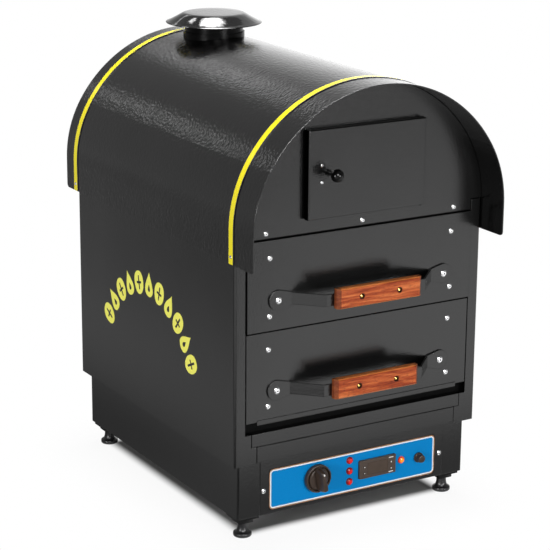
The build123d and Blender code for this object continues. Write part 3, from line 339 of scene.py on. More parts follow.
def lens(name, places, amber, radius):
    """Clear coloured domes, red and one amber, painted darker towards the rim of each dome as
    shade. The amber one glows from its middle as a lit lamp; the red ones carry a faint painted
    glow. Each point belongs to the dome whose middle is nearest."""
    look = Look(name)
    x, _, z = look.axes()
    near = None
    for px, pz in [*places, amber]:
        away = length(x - px, z - pz)
        near = away if near is None else near.smaller(away)
    # painted shade: each dome darker towards its rim
    rim = (near / radius).step(0.25, 0.95)
    flutes = look.noise(1400.0, 1.0)
    warm = x.above(amber[0] - 4 * radius)
    red = look.mix(rim, (0.80, 0.002, 0.006), (0.22, 0.0, 0.002))
    orange = look.mix(rim, (1.0, 0.26, 0.01), (0.62, 0.02, 0.0))
    base = look.mix(flutes * 0.25, look.mix(warm, red, orange), (0.05, 0.0, 0.0))
    # the amber dome's glow is its lamp; the red domes' faint glow is painted light
    glow = look.mix(warm, look.mix(rim, (0.24, 0.0, 0.0), (0.03, 0.0, 0.0)),
                    look.mix(rim, (1.0, 0.30, 0.02), (0.30, 0.008, 0.0)))
    return look.finish(Base_Color=base, Roughness=0.07, Emission_Color=glow,
                       Emission_Strength=0.55, Normal=look.bump(flutes, 0.12, 0.0002))


def printed_film(name, middle, half, corner):
    """Blue polyester film: dark edge, copper hairline, white border and dial ticks on blue.

    The border follows the signed distance to a rounded rectangle: with
    q = |p - middle| - half + corner, distance = length(max(q, 0)) + min(max(qx, qz), 0) - corner.
    The ticks are short radial bars every 30 degrees over three quarters of a ring."""
    look = Look(name)
    x, _, z = look.axes()
    qx = (x - middle[0]).abs() - (half[0] - corner)
    qz = (z - middle[1]).abs() - (half[1] - corner)
    inside = qx.larger(qz).smaller(0.0)
    distance = length(qx.larger(0.0), qz.larger(0.0)) + inside - corner
    outer = distance.step(-0.0005, -0.0003)
    copper = distance.step(-0.0015, -0.0013)
    dark = distance.step(-0.0021, -0.0019)
    white = distance.step(-0.0044, -0.0041)
    dx, dz = x - SELECTOR[0], z - SELECTOR[1]
    radius, apart = length(dx, dz), radians(30)
    angle = look.node("ShaderNodeMath", {"operation": "ARCTAN2"}, {0: dx, 1: dz})
    turn = angle / apart + 0.5
    whole = look.node("ShaderNodeMath", {"operation": "FLOOR"}, {0: turn})
    off_tick = (turn - whole - 0.5).abs() * apart * radius
    tick = off_tick.below(0.00045) * radius.above(0.0262) * radius.below(0.0292)
    tick = tick * angle.abs().below(radians(140))
    mottle = look.noise(420.0, 3.0, 0.6)
    blue = look.mix(mottle, (0.0, 0.205, 0.535), (0.0, 0.235, 0.59))
    base = look.mix(tick * 0.5, blue, (0.0, 0.06, 0.22))
    base = look.mix(white, base, (0.88, 0.88, 0.86))
    base = look.mix(dark, base, PRINT_BLACK)
    base = look.mix(copper, base, (0.50, 0.24, 0.12))
    base = look.mix(outer, base, PRINT_BLACK)
    return look.finish(Base_Color=base, Roughness=0.45 + mottle * 0.1, Specular_IOR_Level=0.05,
                       Normal=look.bump(look.noise(1300.0, 1.0), 0.12, 0.0001))


def mineral_wool(name):
    """Pressed yellow-grey mineral wool: tangled fibres in two directions."""
    look = Look(name)
    one = look.noise(380.0, 5.0, 0.7, stretch=(1.0, 0.12, 1.0))
    two = look.noise(420.0, 5.0, 0.7, stretch=(1.0, 1.0, 0.12))
    tangle = one.larger(two)
    base = look.ramp(tangle, [(0.3, (0.30, 0.25, 0.14)), (0.55, (0.62, 0.55, 0.36)),
                              (0.8, (0.80, 0.74, 0.56))])
    return look.finish(Base_Color=base, Roughness=0.95, Normal=look.bump(tangle, 0.9, 0.002))


def cut_vinyl(name):
    """Cut yellow vinyl: flat colour with a faint drift and fine surface grain."""
    look = Look(name)
    drift = look.mix(look.noise(30.0, 2.0), (0.94, 0.90, 0.12), (1.0, 0.97, 0.18))
    grain = look.noise(1500.0, 1.0)
    return look.finish(Base_Color=drift, Roughness=0.4 + grain * 0.12, Specular_IOR_Level=0.2,
                       Normal=look.bump(grain, 0.2, 0.0001))


def dress(finish, *names):
    """Gives CAD nodes their finish."""
    for name in names:
        piece = nodes[name]
        if not piece.material_slots:
            piece.data.materials.append(finish)
        for holder in piece.material_slots:
            holder.material = finish


# ---------------------------------------------------------------- surfaces
def mesh_piece(name, points, faces, finish, body="cabinet", slot=None):
    """New piece of the oven from its points and faces: it rides on a body and is smooth with sharp
    edges over 35 degrees. The slot argument is not used."""
    data = bpy.data.meshes.new(name)
    data.from_pydata(np.asarray(points).tolist(), [], [list(map(int, f)) for f in faces])
    data.validate()
    data.materials.append(finish)
    data.polygons.foreach_set("use_smooth", np.ones(len(data.polygons), bool))
    data.set_sharp_from_angle(angle=radians(35))
    data.update()
    piece = bpy.data.objects.new(name, data)
    bpy.context.scene.collection.objects.link(piece)
    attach(piece, body)
    return piece


def turned(profile, origin, axis, around):
    """Profile (radius, height) carried round an axis:
    P(a, k) = origin + r_k (cos a U + sin a V) + h_k W."""
    profile = np.asarray(profile, float)
    w = np.asarray(axis, float)
    w /= np.linalg.norm(w)
    u = np.cross(w, (1.0, 0.0, 0.0))
    u /= np.linalg.norm(u)
    v = np.cross(w, u)
    a = np.linspace(0, 2 * pi, around, endpoint=False)[:, None, None]
    r, h = profile[None, :, 0:1], profile[None, :, 1:2]
    return np.asarray(origin, float) + r * (np.cos(a) * u + np.sin(a) * v) + h * w


def half_ellipsoid(radius, rise, steps):
    """Profile r = radius cos t, h = rise sin t over a quarter turn of t: mm in, metres out."""
    t = np.linspace(0, pi / 2, steps)
    profile = np.stack([radius * np.cos(t), rise * np.sin(t)], 1) * MM
    profile[-1, 0] = POLE * MM
    return profile


def merge(parts):
    """Joins (points, faces) pairs into one."""
    points, faces, at = [], [], 0
    for p, f in parts:
        points.append(p)
        faces += [[int(i) + at for i in face] for face in f]
        at += len(p)
    return np.concatenate(points), faces


def grid_faces(nu, nv, wrap_v=False):
    """Four-sided faces of a grid of nu by nv points that closes on itself along u."""
    uu, vv = np.meshgrid(np.arange(nu), np.arange(nv if wrap_v else nv - 1), indexing="ij")
    un, vn = (uu + 1) % nu, (vv + 1) % nv
    return np.stack([uu * nv + vv, un * nv + vv, un * nv + vn, uu * nv + vn], -1).reshape(-1, 4)


def shell(grid):
    """Closed (points, faces) of a grid that closes on itself along its first axis, its two ends
    shut by one face each."""
    around, levels = grid.shape[:2]
    end = np.arange(around) * levels
    ends = [end[::-1].tolist(), (end + levels - 1).tolist()]
    return grid.reshape(-1, 3), grid_faces(around, levels).tolist() + ends


def raised(outline, thick, place):
    """Plate from a closed outline (n, 2) with a softened rim: (points, faces), placed by
    place(x, z, out).

    Rings: foot at height 0, wall to 0.6 thick, rim drawn in by 0.4 thick at full height, then a
    middle point."""
    outline = np.asarray(outline, float)
    centre = outline.mean(0)
    reach = np.linalg.norm(outline - centre, axis=1, keepdims=True)
    inner = centre + (outline - centre) * np.maximum(1 - 0.4 * thick / reach, 0.2)
    rings = [(outline, 0.0), (outline, 0.6 * thick), (inner, thick)]
    n = len(outline)
    points = np.concatenate([place(ring[:, 0], ring[:, 1], np.full(n, h)) for ring, h in rings]
                            + [place(centre[:1], centre[1:], np.array([thick]))])
    k = np.arange(n)
    nxt = (k + 1) % n
    faces = [k[::-1].tolist()] + [[a, b, n + b, n + a] for a, b in zip(k, nxt)]
    faces += [[n + a, n + b, 2 * n + b, 2 * n + a] for a, b in zip(k, nxt)]
    faces += [[2 * n + a, 2 * n + b, 3 * n] for a, b in zip(k, nxt)]
    return points, faces


def rounded(cx, cz, half_w, half_h, corner, steps=6):
    """Outline of a rounded rectangle, anticlockwise."""
    turns = np.linspace(0, pi / 2, steps)
    out = []
    for k, (sx, sz) in enumerate(((1, 1), (-1, 1), (-1, -1), (1, -1))):
        a = turns + k * pi / 2
        out.append(np.stack([cx + sx * (half_w - corner) + corner * np.cos(a),
                             cz + sz * (half_h - corner) + corner * np.sin(a)], 1))
    return np.concatenate(out)


def on_front(face):
    """Placing for plates on a face that looks towards -Y."""
    return lambda x, z, out: np.stack([x, np.full_like(x, face) - out, z], 1)


def on_left(y, z, out):
    """Points on the left side panel, out from its face; the first axis runs along +Y."""
    return np.stack([np.full_like(y, SIDE_FACE) - out, y, z], 1)


# ---------------------------------------------------------------- finishes on the CAD nodes
coat = powder_coat("black_powder_coat", 0.19, 0.8, 390.0)
coat_roof = powder_coat("black_powder_coat_roof", 0.14, 1.35, 225.0)
# the door's left side face takes painted shade: flat black, not reflecting
door_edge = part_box("door_leaf")[0].x + 0.5 * MM
dress(powder_coat("black_powder_coat_door", 0.19, 0.8, 390.0, shade_left_of=door_edge),
      "door_leaf")
satin = enamel_black("black_satin_enamel", 0.002, 0.2, shine=0.35)
# near black with little shine; on the flue pipe this stands in for the shade under the cap, a
# painted shade
low_shine_black = enamel_black("black_flue_enamel", 0.0015, 0.26, shine=0.08)
dress(coat_roof, "roof_barrel")
dress(coat, "side_panel_left", "side_panel_right", "arch_front_panel", "arch_rear_panel",
      "base_skirt", "front_rail", "crumb_tray", "drawer_upper_front", "drawer_lower_front",
      "control_plate", "rear_panel", "drawer_upper_handle", "drawer_lower_handle")
dress(low_shine_black, "flue_pipe", "flue_collar", "door_pivots")
dress(satin, "foot_brackets")
for name in ("front", "rear"):
    low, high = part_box(f"trim_band_{name}")
    dress(band_enamel(f"yellow_band_{name}", (low.y + high.y) / 2), f"trim_band_{name}")
for name, base_z in DRAWERS:
    low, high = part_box(f"drawer_{name}_grip")
    dress(stained_wood(f"stained_wood_{name}", (low.z + high.z) / 2, high.y),
          f"drawer_{name}_grip")
    # heads near the front's corners, of the handle and in the grip
    recesses = [(177, base_z + 24.5, 4.6), (177, base_z + 121.5, 4.6), (162, base_z + 50, 5.6),
                (GRIP_SCREW_X, base_z + GRIP_SCREW_RISE, 3.2)]
    dress(bright_zinc(f"zinc_{name}_screws", recesses, FRONT - 46 * MM), f"drawer_{name}_screws")
panel_recesses = [(183, 525.9, 4.2), (0, 525.9, 4.2), (177.5, 82.5, 4.2)]
dress(bright_zinc("zinc_panel_screws", panel_recesses), "panel_screws")
door_recesses = [(87.5, 601.5, 2.6), (87.5, 629.5, 2.6)]
dress(bright_zinc("zinc_door_screws", door_recesses), "door_screws")
dress(bright_zinc("zinc_trim_screws"), "trim_screws")
dress(rolled_steel("oven_steel", 0.50, heat=0.5, gap_shade_before=FRONT + 17 * MM), "oven_liner")
dress(rolled_steel("element_steel", 0.42, heat=0.8), "heating_elements", "vent_spigot")
dress(rolled_steel("deck_steel", 0.56, gap_shade_before=FRONT + 8 * MM), "deck")
dress(rolled_steel("plain_steel", 0.56), "body_floor", "base_floor", "drawer_upper_box",
      "drawer_lower_box", "drawer_runners", "temperature_probe", "selector_shaft")
dress(mineral_wool("mineral_wool"), "insulation")
dress(enamel_black("black_ball_plastic", 0.0015, 0.05, wave=0.3, shine=0.25), "door_knob")
brown = moulded("brown_black_plastic", (0.046, 0.031, 0.023), 0.3, shine=0.28)
dress(brown, "limit_thermostat")
dress(moulded("brown_bezel_plastic", (0.068, 0.049, 0.039), 0.35, shine=0.28), "controller_case")
dress(moulded("black_plastic", (0.014, 0.014, 0.014), 0.45), "selector_switch", "terminal_block",
      "cable_gland", "door_catch")
dress(moulded("key_rubber", (0.026, 0.018, 0.014), 0.5), "controller_key_1", "controller_key_2",
      "controller_key_3", "controller_key_4")
low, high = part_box("control_overlay")
dress(printed_film("blue_film", ((low.x + high.x) / 2, (low.z + high.z) / 2),
                   ((high.x - low.x) / 2, (high.z - low.z) / 2), 8.5 * MM), "control_overlay")
lamp_lens = lens("lamp_lens", LAMPS, AMBER, LAMP_RADIUS * MM)
dress(lamp_lens, "pilot_lamps")

# ---------------------------------------------------------------- new pieces
white_ink = moulded("white_ink", (0.78, 0.77, 0.74), 0.5)

# an arched row of plain marks on the left side: potatoes of 33 by 43 mm with a cross cut, and
# flames of 44 mm between
ARC_CENTRE, ARC_RADIUS = (24 * MM, 202 * MM), 171 * MM
ARC_START, ARC_STEP, MARKS = 65, 12.7, 11     # degrees from the top, degrees apart, number
t = np.linspace(0, 2 * pi, 96, endpoint=False)
ways = np.stack([np.cos(t), np.sin(t)], 1)
c, s = np.abs(ways.T) + 1e-6
potato = ways * np.stack([16.5 * (1 + 0.06 * np.sin(t)), 21.5 * (1 + 0.04 * np.cos(2 * t + 0.6))],
                         1) * MM
# the cross is the further out of two bars, 17 by 4.2 and 4.2 by 25 mm, along each way
arms = np.minimum(8.5 / c, 2.1 / s), np.minimum(2.1 / c, 12.5 / s)
cross = ways * np.maximum(*arms)[:, None] * MM
narrowing = np.cos(t) * (1 - np.sin(t)) ** 0.8
flame = np.stack([11.5 * narrowing, 2.0 + 22.0 * np.sin(t)], 1) * MM
spark = np.stack([3.4 * narrowing, -4.0 + 7.0 * np.sin(t)], 1) * MM


def mark(turn, outline, hole, thick=0.25 * MM):
    """Flat mark with a hole: rings from the hole to the outline at heights 0, 0.7 and 1 of the
    thickness and back, turned by the arc's angle: p = c + a (cos, sin) + b (-sin, cos)."""
    c, s = cos(turn), sin(turn)
    mid = (ARC_CENTRE[0] - ARC_RADIUS * s, ARC_CENTRE[1] + ARC_RADIUS * c)
    rings = []
    for share, out in ((1.0, 0.0), (1.0, 0.7), (0.96, 1.0), (0.04, 1.0), (0.0, 0.7), (0.0, 0.0)):
        ring = outline * (1 - share) + hole * share
        a, b = ring[:, 0], ring[:, 1]
        rings.append(on_left(mid[0] + a * c - b * s, mid[1] + a * s + b * c,
                             np.full(len(ring), out * thick)))
    return np.stack(rings, 1).reshape(-1, 3), grid_faces(len(outline), 6, wrap_v=True)


marks = [mark(radians(ARC_START - ARC_STEP * k), *((flame, spark) if k % 2 else (potato, cross)))
         for k in range(MARKS)]
mesh_piece("side_marks", *merge(marks), cut_vinyl("yellow_vinyl"), slot="trim_band_front")

# controller: window, two marks on the bezel and a mark on each key
WINDOW_SEAT, MARK_RISE = 0.58 * MM, 0.06 * MM
KEY_FACE = BEZEL_FACE - 0.9 * MM
KEY_REACH = 27.2 * MM
window = raised(rounded(*CONTROL, 20.7 * MM, 10.7 * MM, 1.1 * MM), 0.42 * MM,
                on_front(BEZEL_FACE + WINDOW_SEAT))
mesh_piece("display_window", *window, moulded("window_glass", (0.066, 0.045, 0.033), 0.12),
           slot="controller_case")
bars = [raised(rounded(CONTROL[0] + KEY_REACH, CONTROL[1] + dz * MM, 4.6 * MM, 0.8 * MM, 0.3 * MM),
               MARK_RISE, on_front(BEZEL_FACE)) for dz in (12.6, -13.2)]
mesh_piece("bezel_marks", *merge(bars), white_ink, slot="controller_case")
shapes = ([(0, 1.15), (-1.2, -0.9), (1.2, -0.9)], [(0, -1.15), (1.2, 0.9), (-1.2, 0.9)],
          [(-1, -1), (1, -1), (1, 1), (-1, 1)], [(0, 1.3), (-1.1, 0), (0, -1.3), (1.1, 0)])
for k, (side, dz) in enumerate(((-1, 4.2), (-1, -7.0), (1, 4.2), (1, -7.0))):
    outline = np.array(shapes[k]) * MM + (CONTROL[0] + side * KEY_REACH, CONTROL[1] + dz * MM)
    mesh_piece(f"key_mark_{k + 1}", *raised(outline, MARK_RISE, on_front(KEY_FACE)), white_ink,
               body=f"key_{k + 1}", slot=f"controller_key_{k + 1}")

# flue cap: spun sheet with a raised flat middle, sloping shoulders and a flared brim
cap_top = [(POLE, 801.5), (30, 801.5), (49, 801.45), (53.2, 801.15), (56.5, 800.2), (61, 797.9),
           (68, 793.9), (75, 790.1), (80, 787.5), (83.6, 785.9), (86.0, 785.15), (86.9, 784.5),
           (86.7, 783.8), (85.6, 783.5)]
cap_under = [(82.6, 784.9), (79, 786.6), (74, 789.1), (67, 793.0), (60, 797.0), (55.5, 799.1),
             (52, 800.1), (30, 800.3), (POLE, 800.3)]
cap = turned(np.array((cap_top + cap_under)[::-1]) * MM, (*FLUE, 0), (0, 0, 1), 96)
gloss_black = enamel_black("black_gloss_enamel", 0.003, 0.08, wave=1.6)
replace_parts(mesh_piece("spun_flue_cap", *shell(cap), gloss_black), "flue_cap")

# its three bent legs: strips swept along a path (radius, z), point = path + a across + b normal,
# where the normal is the path's way turned by 90 degrees
legs = []
leg_path = np.array([(50.2, 755.2), (50.2, 792.0), (50.8, 795.4), (52.4, 797.8), (55.2, 798.4),
                     (63.0, 794.2)])
ways = np.gradient(leg_path, axis=0)
ways /= np.linalg.norm(ways, axis=1, keepdims=True)
section = rounded(0, 0, 7.0, 0.7, 0.6, steps=3)
upwards = np.array([0, 0, 1.0])
for turn in np.radians((30, 150, 270)):
    out = np.array([cos(turn), sin(turn), 0.0])
    across = np.array([-sin(turn), cos(turn), 0.0])
    normals = -ways[:, 1:] * out + ways[:, :1] * upwards
    spine = leg_path[:, :1] * out + leg_path[:, 1:] * upwards
    strip = (spine[:, None] + section[None, :, :1] * across
             + section[None, :, 1:] * normals[:, None])
    legs.append(shell((strip * MM + (*FLUE, 0.0)).transpose(1, 0, 2)))
mesh_piece("flue_cap_legs", *merge(legs), low_shine_black, slot="flue_pipe")

# brass heads in the recesses of the grips, sunk 2.9 mm behind the grip's nose
BEHIND_ALL = 9.0             # a Y behind the whole oven, so all of it is brassy
brass = bright_zinc("worn_brass", brass_beyond=BEHIND_ALL)
for name, base_z in DRAWERS:
    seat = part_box(f"drawer_{name}_grip")[0].y + 2.9 * MM
    heads = [shell(turned(half_ellipsoid(3.15, 2.1, 8),
                          (x * MM, seat, (base_z + GRIP_SCREW_RISE) * MM), (0, -1, 0), 24))
             for x in (-GRIP_SCREW_X, GRIP_SCREW_X)]
    mesh_piece(f"{name}_grip_heads", *merge(heads), brass, body=f"drawer_{name}",
               slot=f"drawer_{name}_screws")

# levelling feet: a thick rounded pad that flares up into a stout neck, below a square block
# under the bracket. Profile (radius, z); block rings (z, half width)
foot_rubber = moulded("black_foot_rubber", (0.009, 0.009, 0.010), 0.30)
foot = [(POLE, 0.0), (13.4, 0.0), (14.7, 0.3), (15.5, 1.2), (15.8, 2.5), (15.8, 4.9), (15.5, 6.2),
        (14.7, 7.1), (13.3, 7.7), (11.8, 8.7), (10.5, 10.4), (9.6, 12.7), (9.0, 15.5),
        (8.6, 19.0), (8.5, 25.4), (POLE, 25.4)]
block_rings = [(25.5, 0.05), (25.5, 12.6), (25.9, 13.0), (33.9, 13.0), (33.9, 0.05)]
blocks = []
for corner in ("left_front", "left_rear", "right_front", "right_rear"):
    low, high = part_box(f"levelling_foot_{corner}")
    fx, fy = (low.x + high.x) / 2, (low.y + high.y) / 2
    pad = shell(turned(np.array(foot) * MM, (fx, fy, 0), (0, 0, 1), 48))
    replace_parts(mesh_piece(f"foot_{corner}", *pad, foot_rubber, body=f"foot_{corner}"),
                f"levelling_foot_{corner}")
    rings = []
    for z, half in block_rings:
        ring = rounded(fx, fy, half * MM, half * MM, min(1.0, 0.9 * half) * MM, 3)
        rings.append(np.column_stack([ring, np.full(len(ring), z * MM)]))
    blocks.append(shell(np.stack(rings, 1)))
mesh_piece("foot_blocks", *merge(blocks), satin, slot="foot_brackets")

# lamp domes over each lamp's rim
domes = [shell(turned(half_ellipsoid(LAMP_RADIUS, 4.6, 12), (x, OVERLAY_FACE, z), (0, -1, 0), 32))
         for x, z in [*LAMPS, AMBER]]
mesh_piece("lamp_domes", *merge(domes), lamp_lens, slot="pilot_lamps")

# selector: a cup-shaped skirt (radius, height) with a raised rim round a flat face, and a tall
# wing that tapers towards its crown. Wing: rounded rectangles (height, half length, half width)
# stacked from inside the face to the crown
cup = [(POLE, 7.5), (3.3, 7.5), (3.3, 0.4), (23.4, 0.4), (24.2, 0.8), (24.5, 1.6), (24.5, 7.0),
       (24.3, 7.9), (23.6, 8.5), (22.6, 8.6), (21.7, 8.3), (21.1, 7.4), (20.9, 5.8), (20.2, 5.0),
       (19.3, 5.2), (18.8, 6.2), (18.3, 8.4), (17.4, 9.1), (15.0, 9.4), (POLE, 9.6)]
wing_rings = [(8.0, 0.05, 0.05), (8.0, 21.6, 6.0), (15.0, 21.4, 5.3), (21.0, 20.2, 4.6),
              (26.0, 18.2, 4.0), (28.2, 16.9, 3.5), (29.0, 15.6, 2.7), (29.1, 0.05, 0.05)]
WING_LEAN = radians(10)
DOT_ALONG, DOT_SEAT = 14.2 * MM, 28.9 * MM


def on_dial(across, along, out):
    """Point on the selector's wing: (x, z) = axis + across (cos a, sin a) + along (-sin a, cos a),
    at the height out above the overlay."""
    return np.stack([SELECTOR[0] + across * cos(WING_LEAN) - along * sin(WING_LEAN),
                     OVERLAY_FACE - out + 0 * across,
                     SELECTOR[1] + across * sin(WING_LEAN) + along * cos(WING_LEAN)], -1)


wing = np.stack([on_dial(*rounded(0, 0, w * MM, l * MM, 0.9 * w * MM).T, h * MM)
                 for h, l, w in wing_rings], 1)
skirt = turned(np.array(cup) * MM, (SELECTOR[0], OVERLAY_FACE, SELECTOR[1]), (0, -1, 0), 72)
selector_dial = merge([shell(skirt), shell(wing)])
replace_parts(mesh_piece("selector_dial", *selector_dial, brown, body="selector"), "selector_knob")

# white pointer dot on the wing's crown near its upper end, leaning with the crown
dot = turned(half_ellipsoid(1.9, 0.6, 12), on_dial(0.0, DOT_ALONG, DOT_SEAT), (0, -1, 0.12), 20)
mesh_piece("selector_dot", *shell(dot), white_ink, body="selector", slot="selector_knob")

# reset cap: a flanged cup over the bush's nut, bored for the thread, with a barrel whose flutes
# follow r' = r (1 - 0.08 cos(9 a)^2). FLUTED are the profile points of the barrel's wall
barrel = [(POLE, 8.6), (4.1, 8.6), (4.1, 4.2), (8.0, 4.2), (8.0, 0.7), (8.5, 0.6), (8.9, 1.0),
          (8.9, 3.2), (8.4, 3.9), (7.3, 4.3), (7.2, 4.7), (7.2, 11.6), (6.8, 12.7), (5.6, 13.3),
          (POLE, 13.4)]
FLUTED, AROUND = slice(10, 13), 108
low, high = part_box("reset_cap")
grid = turned(np.array(barrel) * MM, (0, 0, 0), (0, -1, 0), AROUND)
flutes = 1 - 0.08 * np.cos(9 * np.linspace(0, 2 * pi, AROUND, endpoint=False)) ** 2
grid[:, FLUTED] *= np.stack([flutes, np.ones(AROUND), flutes], 1)[:, None]
grid += ((low.x + high.x) / 2, OVERLAY_FACE, (low.z + high.z) / 2)
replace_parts(mesh_piece("fluted_reset_cap", *shell(grid), brown, body="reset_cap"), "reset_cap")


# ---------------------------------------------------------------- stage
WHITE = (1.0, 1.0, 1.0, 1.0)
CARD_LIFT = 0.002            # height of the cards that lie on the floor
WALL_FOOT = 0.01
ROOM_LIGHT = 0.14            # strength of the even light from all around
SHADE_HALF, SHADE_Y = (0.188, 0.236), 0.0102    # rectangle of floor under the oven


def stage_plane(name, corners, material):
    """One flat face that belongs to the stage, not to the oven."""
    data = bpy.data.meshes.new(name)
    data.from_pydata(corners, [], [list(range(len(corners)))])
    data.materials.append(material)
    plane = bpy.data.objects.new(name, data)
    bpy.context.scene.collection.objects.link(plane)
    return plane


def floor_finish():
    """White paper floor. Under the oven, where little light gets in, the paper is painted grey as
    shadow. Round that it is diffuse and keeps the shadow close to the feet, and further out it
    fades to plain white.

    The distance is that to a rectangle: with q = |p - middle| - half, it is length(max(q, 0))."""
    look = Look("studio_floor")
    x, y, _ = look.axes()
    away = length((x.abs() - SHADE_HALF[0]).larger(0.0),
                  ((y - SHADE_Y).abs() - SHADE_HALF[1]).larger(0.0))
    paper = look.mix(look.noise(3.0, 3.0), (0.93,) * 3, (0.95,) * 3)
    shaded = look.mix(away.step(0.0, 0.03), (0.22,) * 3, paper)
    near = look.node("ShaderNodeBsdfDiffuse", None, {"Color": shaded})
    white, dim = (look.node("ShaderNodeEmission", None, {"Color": WHITE, "Strength": level})
                  for level in (1.0, 0.5))
    bounced = look.node("ShaderNodeLightPath", out="Is Diffuse Ray")
    far = look.node("ShaderNodeMixShader", None, {0: bounced, 1: white, 2: dim})
    fade = away.step(0.0, 0.028) * 0.93 + away.step(0.02, 0.20) * 0.07
    return look.surface(look.node("ShaderNodeMixShader", None, {0: fade, 1: near, 2: far}))


def card(name, corners, paint):
    """Reflector card: only glossy rays see it, so it neither lights the oven nor shows in the
    picture. paint(x, y, z) gives its grey, where 1 is white."""
    look = Look(name)
    grey = paint(*look.axes())
    glow = look.node("ShaderNodeEmission", None, {"Color": grey, "Strength": 1.0})
    plane = stage_plane(name, corners, look.surface(glow))
    plane.visible_camera = plane.visible_diffuse = plane.visible_shadow = False
    plane.visible_transmission = plane.visible_volume_scatter = False


def flat(x0, y0, x1, y1, z):
    """Corners of a level rectangle."""
    return [(x0, y0, z), (x1, y0, z), (x1, y1, z), (x0, y1, z)]


def upright(start, end, z0, z1):
    """Corners of an upright rectangle over the line from start to end."""
    return [(*start, z0), (*end, z0), (*end, z1), (*start, z1)]


def lobe(x, z, at, wide):
    """Oval spot with soft edges, full up to 0.4 of its width and gone at 1.4."""
    return 1.0 - length((x - at[0]) / wide[0], (z - at[1]) / wide[1]).step(0.4, 1.4)


def rear_wall(x, y, z):
    """Grey wall behind the oven, brighter to its right and towards the floor there, with four
    softboxes."""
    open_side = x.step(0.4, 3.2) * (1.0 - z.step(0.8, 4.0) * 0.66)
    return (0.32 + open_side * 1.35 + lobe(x, z, (0.66, 3.02), (0.56, 0.20)) * 1.9
            + lobe(x, z, (-1.70, 2.38), (0.34, 0.13)) * 2.6
            + lobe(x, z, (2.3, 7.2), (1.0, 1.6)) * 5.0
            + lobe(x, z, (-0.3, 5.4), (0.5, 0.5)) * 14.0)


def left_wall(x, y, z):
    """Grey, a little lighter upwards."""
    return 0.28 + z.step(1.5, 5.0) * 0.1


def right_wall(x, y, z):
    """Grey, darker upwards."""
    return 0.36 - z.step(0.5, 4.0) * 0.12


def front_wall(x, y, z):
    """Dark grey, darker upwards, with a large softbox high at the left."""
    return 0.22 - z.step(1.3, 6.0) * 0.14 + lobe(x, z, (-2.2, 4.2), (2.0, 1.7)) * 16.0


def ceiling(x, y, z):
    """Dark grey, lighter towards the right, with a long softbox at the right behind the oven."""
    return 0.15 + x.step(-4.0, 4.0) * 0.2 + lobe(x, y, (1.2, 2.0), (1.1, 2.4)) * 24.0


def left_floor(x, y, z):
    """Dark close beside the oven, lighter half a metre out, more so towards the front, then
    falling off, and lighter again far behind."""
    return (0.15 + (1.0 - x.step(-0.56, -0.30)) * 0.23 - (1.0 - x.step(-1.05, -0.58)) * 0.17
            + (1.0 - y.step(-0.1, 0.35)) * 0.06 + y.step(1.4, 1.8) * 0.05)


def rear_floor(x, y, z):
    """Dark near the oven, lighter away from it and most at the right."""
    return 0.2 + y.step(0.4, 1.2) * (0.2 + x.step(-0.1, 0.8) * 1.1)


def front_floor(x, y, z):
    """Shaded near the base, bright out to 2 m and dimmer beyond. It is dark left of a line that
    runs forwards and right from beside the oven's left corner. About half a metre beyond that
    line it is bright again, apart from a dark strip round x = -0.5."""
    light = 1.16 - y.step(-0.76, -0.42) * 0.80 - (1.0 - y.step(-2.65, -2.15)) * 0.55
    beside = x + (y - FRONT) * 0.6
    past_board = (x + 0.5).abs().step(0.05, 0.16) * (1.0 - beside.step(-0.95, -0.70))
    open_floor = beside.step(-0.40, -0.30).larger(past_board * 0.8)
    return light * (0.22 + open_floor * 0.78)


stage_plane("floor", flat(-30, -30, 30, 30, 0), floor_finish())
card("rear_card", upright((-12, 4), (12, 4), WALL_FOOT, 9), rear_wall)
card("left_card", upright((-6, -5), (-6, 4), WALL_FOOT, 6), left_wall)
card("right_card", upright((6, 4), (6, -5), WALL_FOOT, 6), right_wall)
card("front_card", upright((-8, -6), (8, -6), 1.3, 7), front_wall)
card("ceiling_card", flat(-8, -6, 8, 4, 7), ceiling)
card("floor_card_left", flat(-6, -0.30, -0.22, 4, CARD_LIFT), left_floor)
card("floor_card_rear", flat(-0.22, 0.32, 6, 4, CARD_LIFT), rear_floor)
card("floor_card_front", flat(-6, -6, 6, -0.30, CARD_LIFT), front_floor)

# white background for the camera and for glossy and transmission rays, dim light for the others
world = bpy.data.worlds.new("studio")
bpy.context.scene.world = world
world.use_nodes = True
tree = world.node_tree
tree.nodes.clear()
path = tree.nodes.new("ShaderNodeLightPath")
seen, shown = (tree.nodes.new("ShaderNodeMath") for _ in range(2))
seen.operation = shown.operation = "MAXIMUM"
tree.links.new(path.outputs["Is Glossy Ray"], shown.inputs[0])
tree.links.new(path.outputs["Is Transmission Ray"], shown.inputs[1])
tree.links.new(path.outputs["Is Camera Ray"], seen.inputs[0])
tree.links.new(shown.outputs[0], seen.inputs[1])
room, white = (tree.nodes.new("ShaderNodeBackground") for _ in range(2))
white.inputs["Color"].default_value = room.inputs["Color"].default_value = WHITE
room.inputs["Strength"].default_value, white.inputs["Strength"].default_value = ROOM_LIGHT, 1.0
both = tree.nodes.new("ShaderNodeMixShader")
tree.links.new(seen.outputs[0], both.inputs[0])
tree.links.new(room.outputs[0], both.inputs[1])
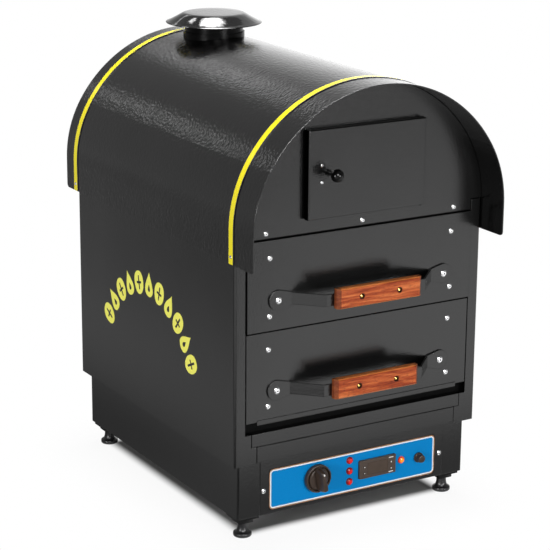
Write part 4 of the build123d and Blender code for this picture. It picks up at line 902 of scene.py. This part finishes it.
tree.links.new(white.outputs[0], both.inputs[2])
world_out = tree.nodes.new("ShaderNodeOutputWorld")
tree.links.new(both.outputs[0], world_out.inputs["Surface"])


def softbox(name, place, aim, side, power):
    """Square area light at place, turned towards aim."""
    data = bpy.data.lights.new(name, "AREA")
    data.shape, data.size, data.size_y, data.energy = "RECTANGLE", side, side, power
    lamp = bpy.data.objects.new(name, data)
    lamp.location = place
    lamp.rotation_mode = "QUATERNION"
    lamp.rotation_quaternion = Vector(np.subtract(place, aim)).to_track_quat("Z", "Y")
    lamp.visible_camera = False
    bpy.context.scene.collection.objects.link(lamp)


softbox("top_light", (0.2, 0.35, 3.2), (0, 0.1, 0.4), 1.5, 96)
softbox("left_light", (-4.1, -1.6, 0.95), (0, 0, 0.4), 0.9, 92)
softbox("front_light", (0.9, -4.3, 0.9), (0, 0, 0.4), 0.8, 92)

# ---------------------------------------------------------------- camera, fitted to the photograph
PICTURE_WIDTH, FOCAL_LENGTH = 550, 1968.407     # in pixels
SENSOR = 36.0
PLACE = (-1.723843, -2.874649, 1.326732)
AZIMUTH, ELEVATION, ROLL = radians(-30.96), radians(16.037), radians(0.445)

camera_data = bpy.data.cameras.new("camera")
camera_data.sensor_fit, camera_data.sensor_width = "HORIZONTAL", SENSOR
camera_data.lens = FOCAL_LENGTH / PICTURE_WIDTH * SENSOR
camera_data.clip_start, camera_data.clip_end = 0.05, 100
camera = bpy.data.objects.new("camera", camera_data)
back = np.array([sin(AZIMUTH) * cos(ELEVATION), -cos(AZIMUTH) * cos(ELEVATION), sin(ELEVATION)])
right = np.array([cos(AZIMUTH), sin(AZIMUTH), 0.0])
up = np.cross(back, right)
right, up = cos(ROLL) * right + sin(ROLL) * up, -sin(ROLL) * right + cos(ROLL) * up
rows = zip(np.stack([right, up, back], 1), PLACE)
camera.matrix_world = Matrix([[*row, p] for row, p in rows] + [[0, 0, 0, 1]])
bpy.context.scene.collection.objects.link(camera)
bpy.context.scene.camera = camera
bpy.context.scene.view_settings.view_transform = "Standard"
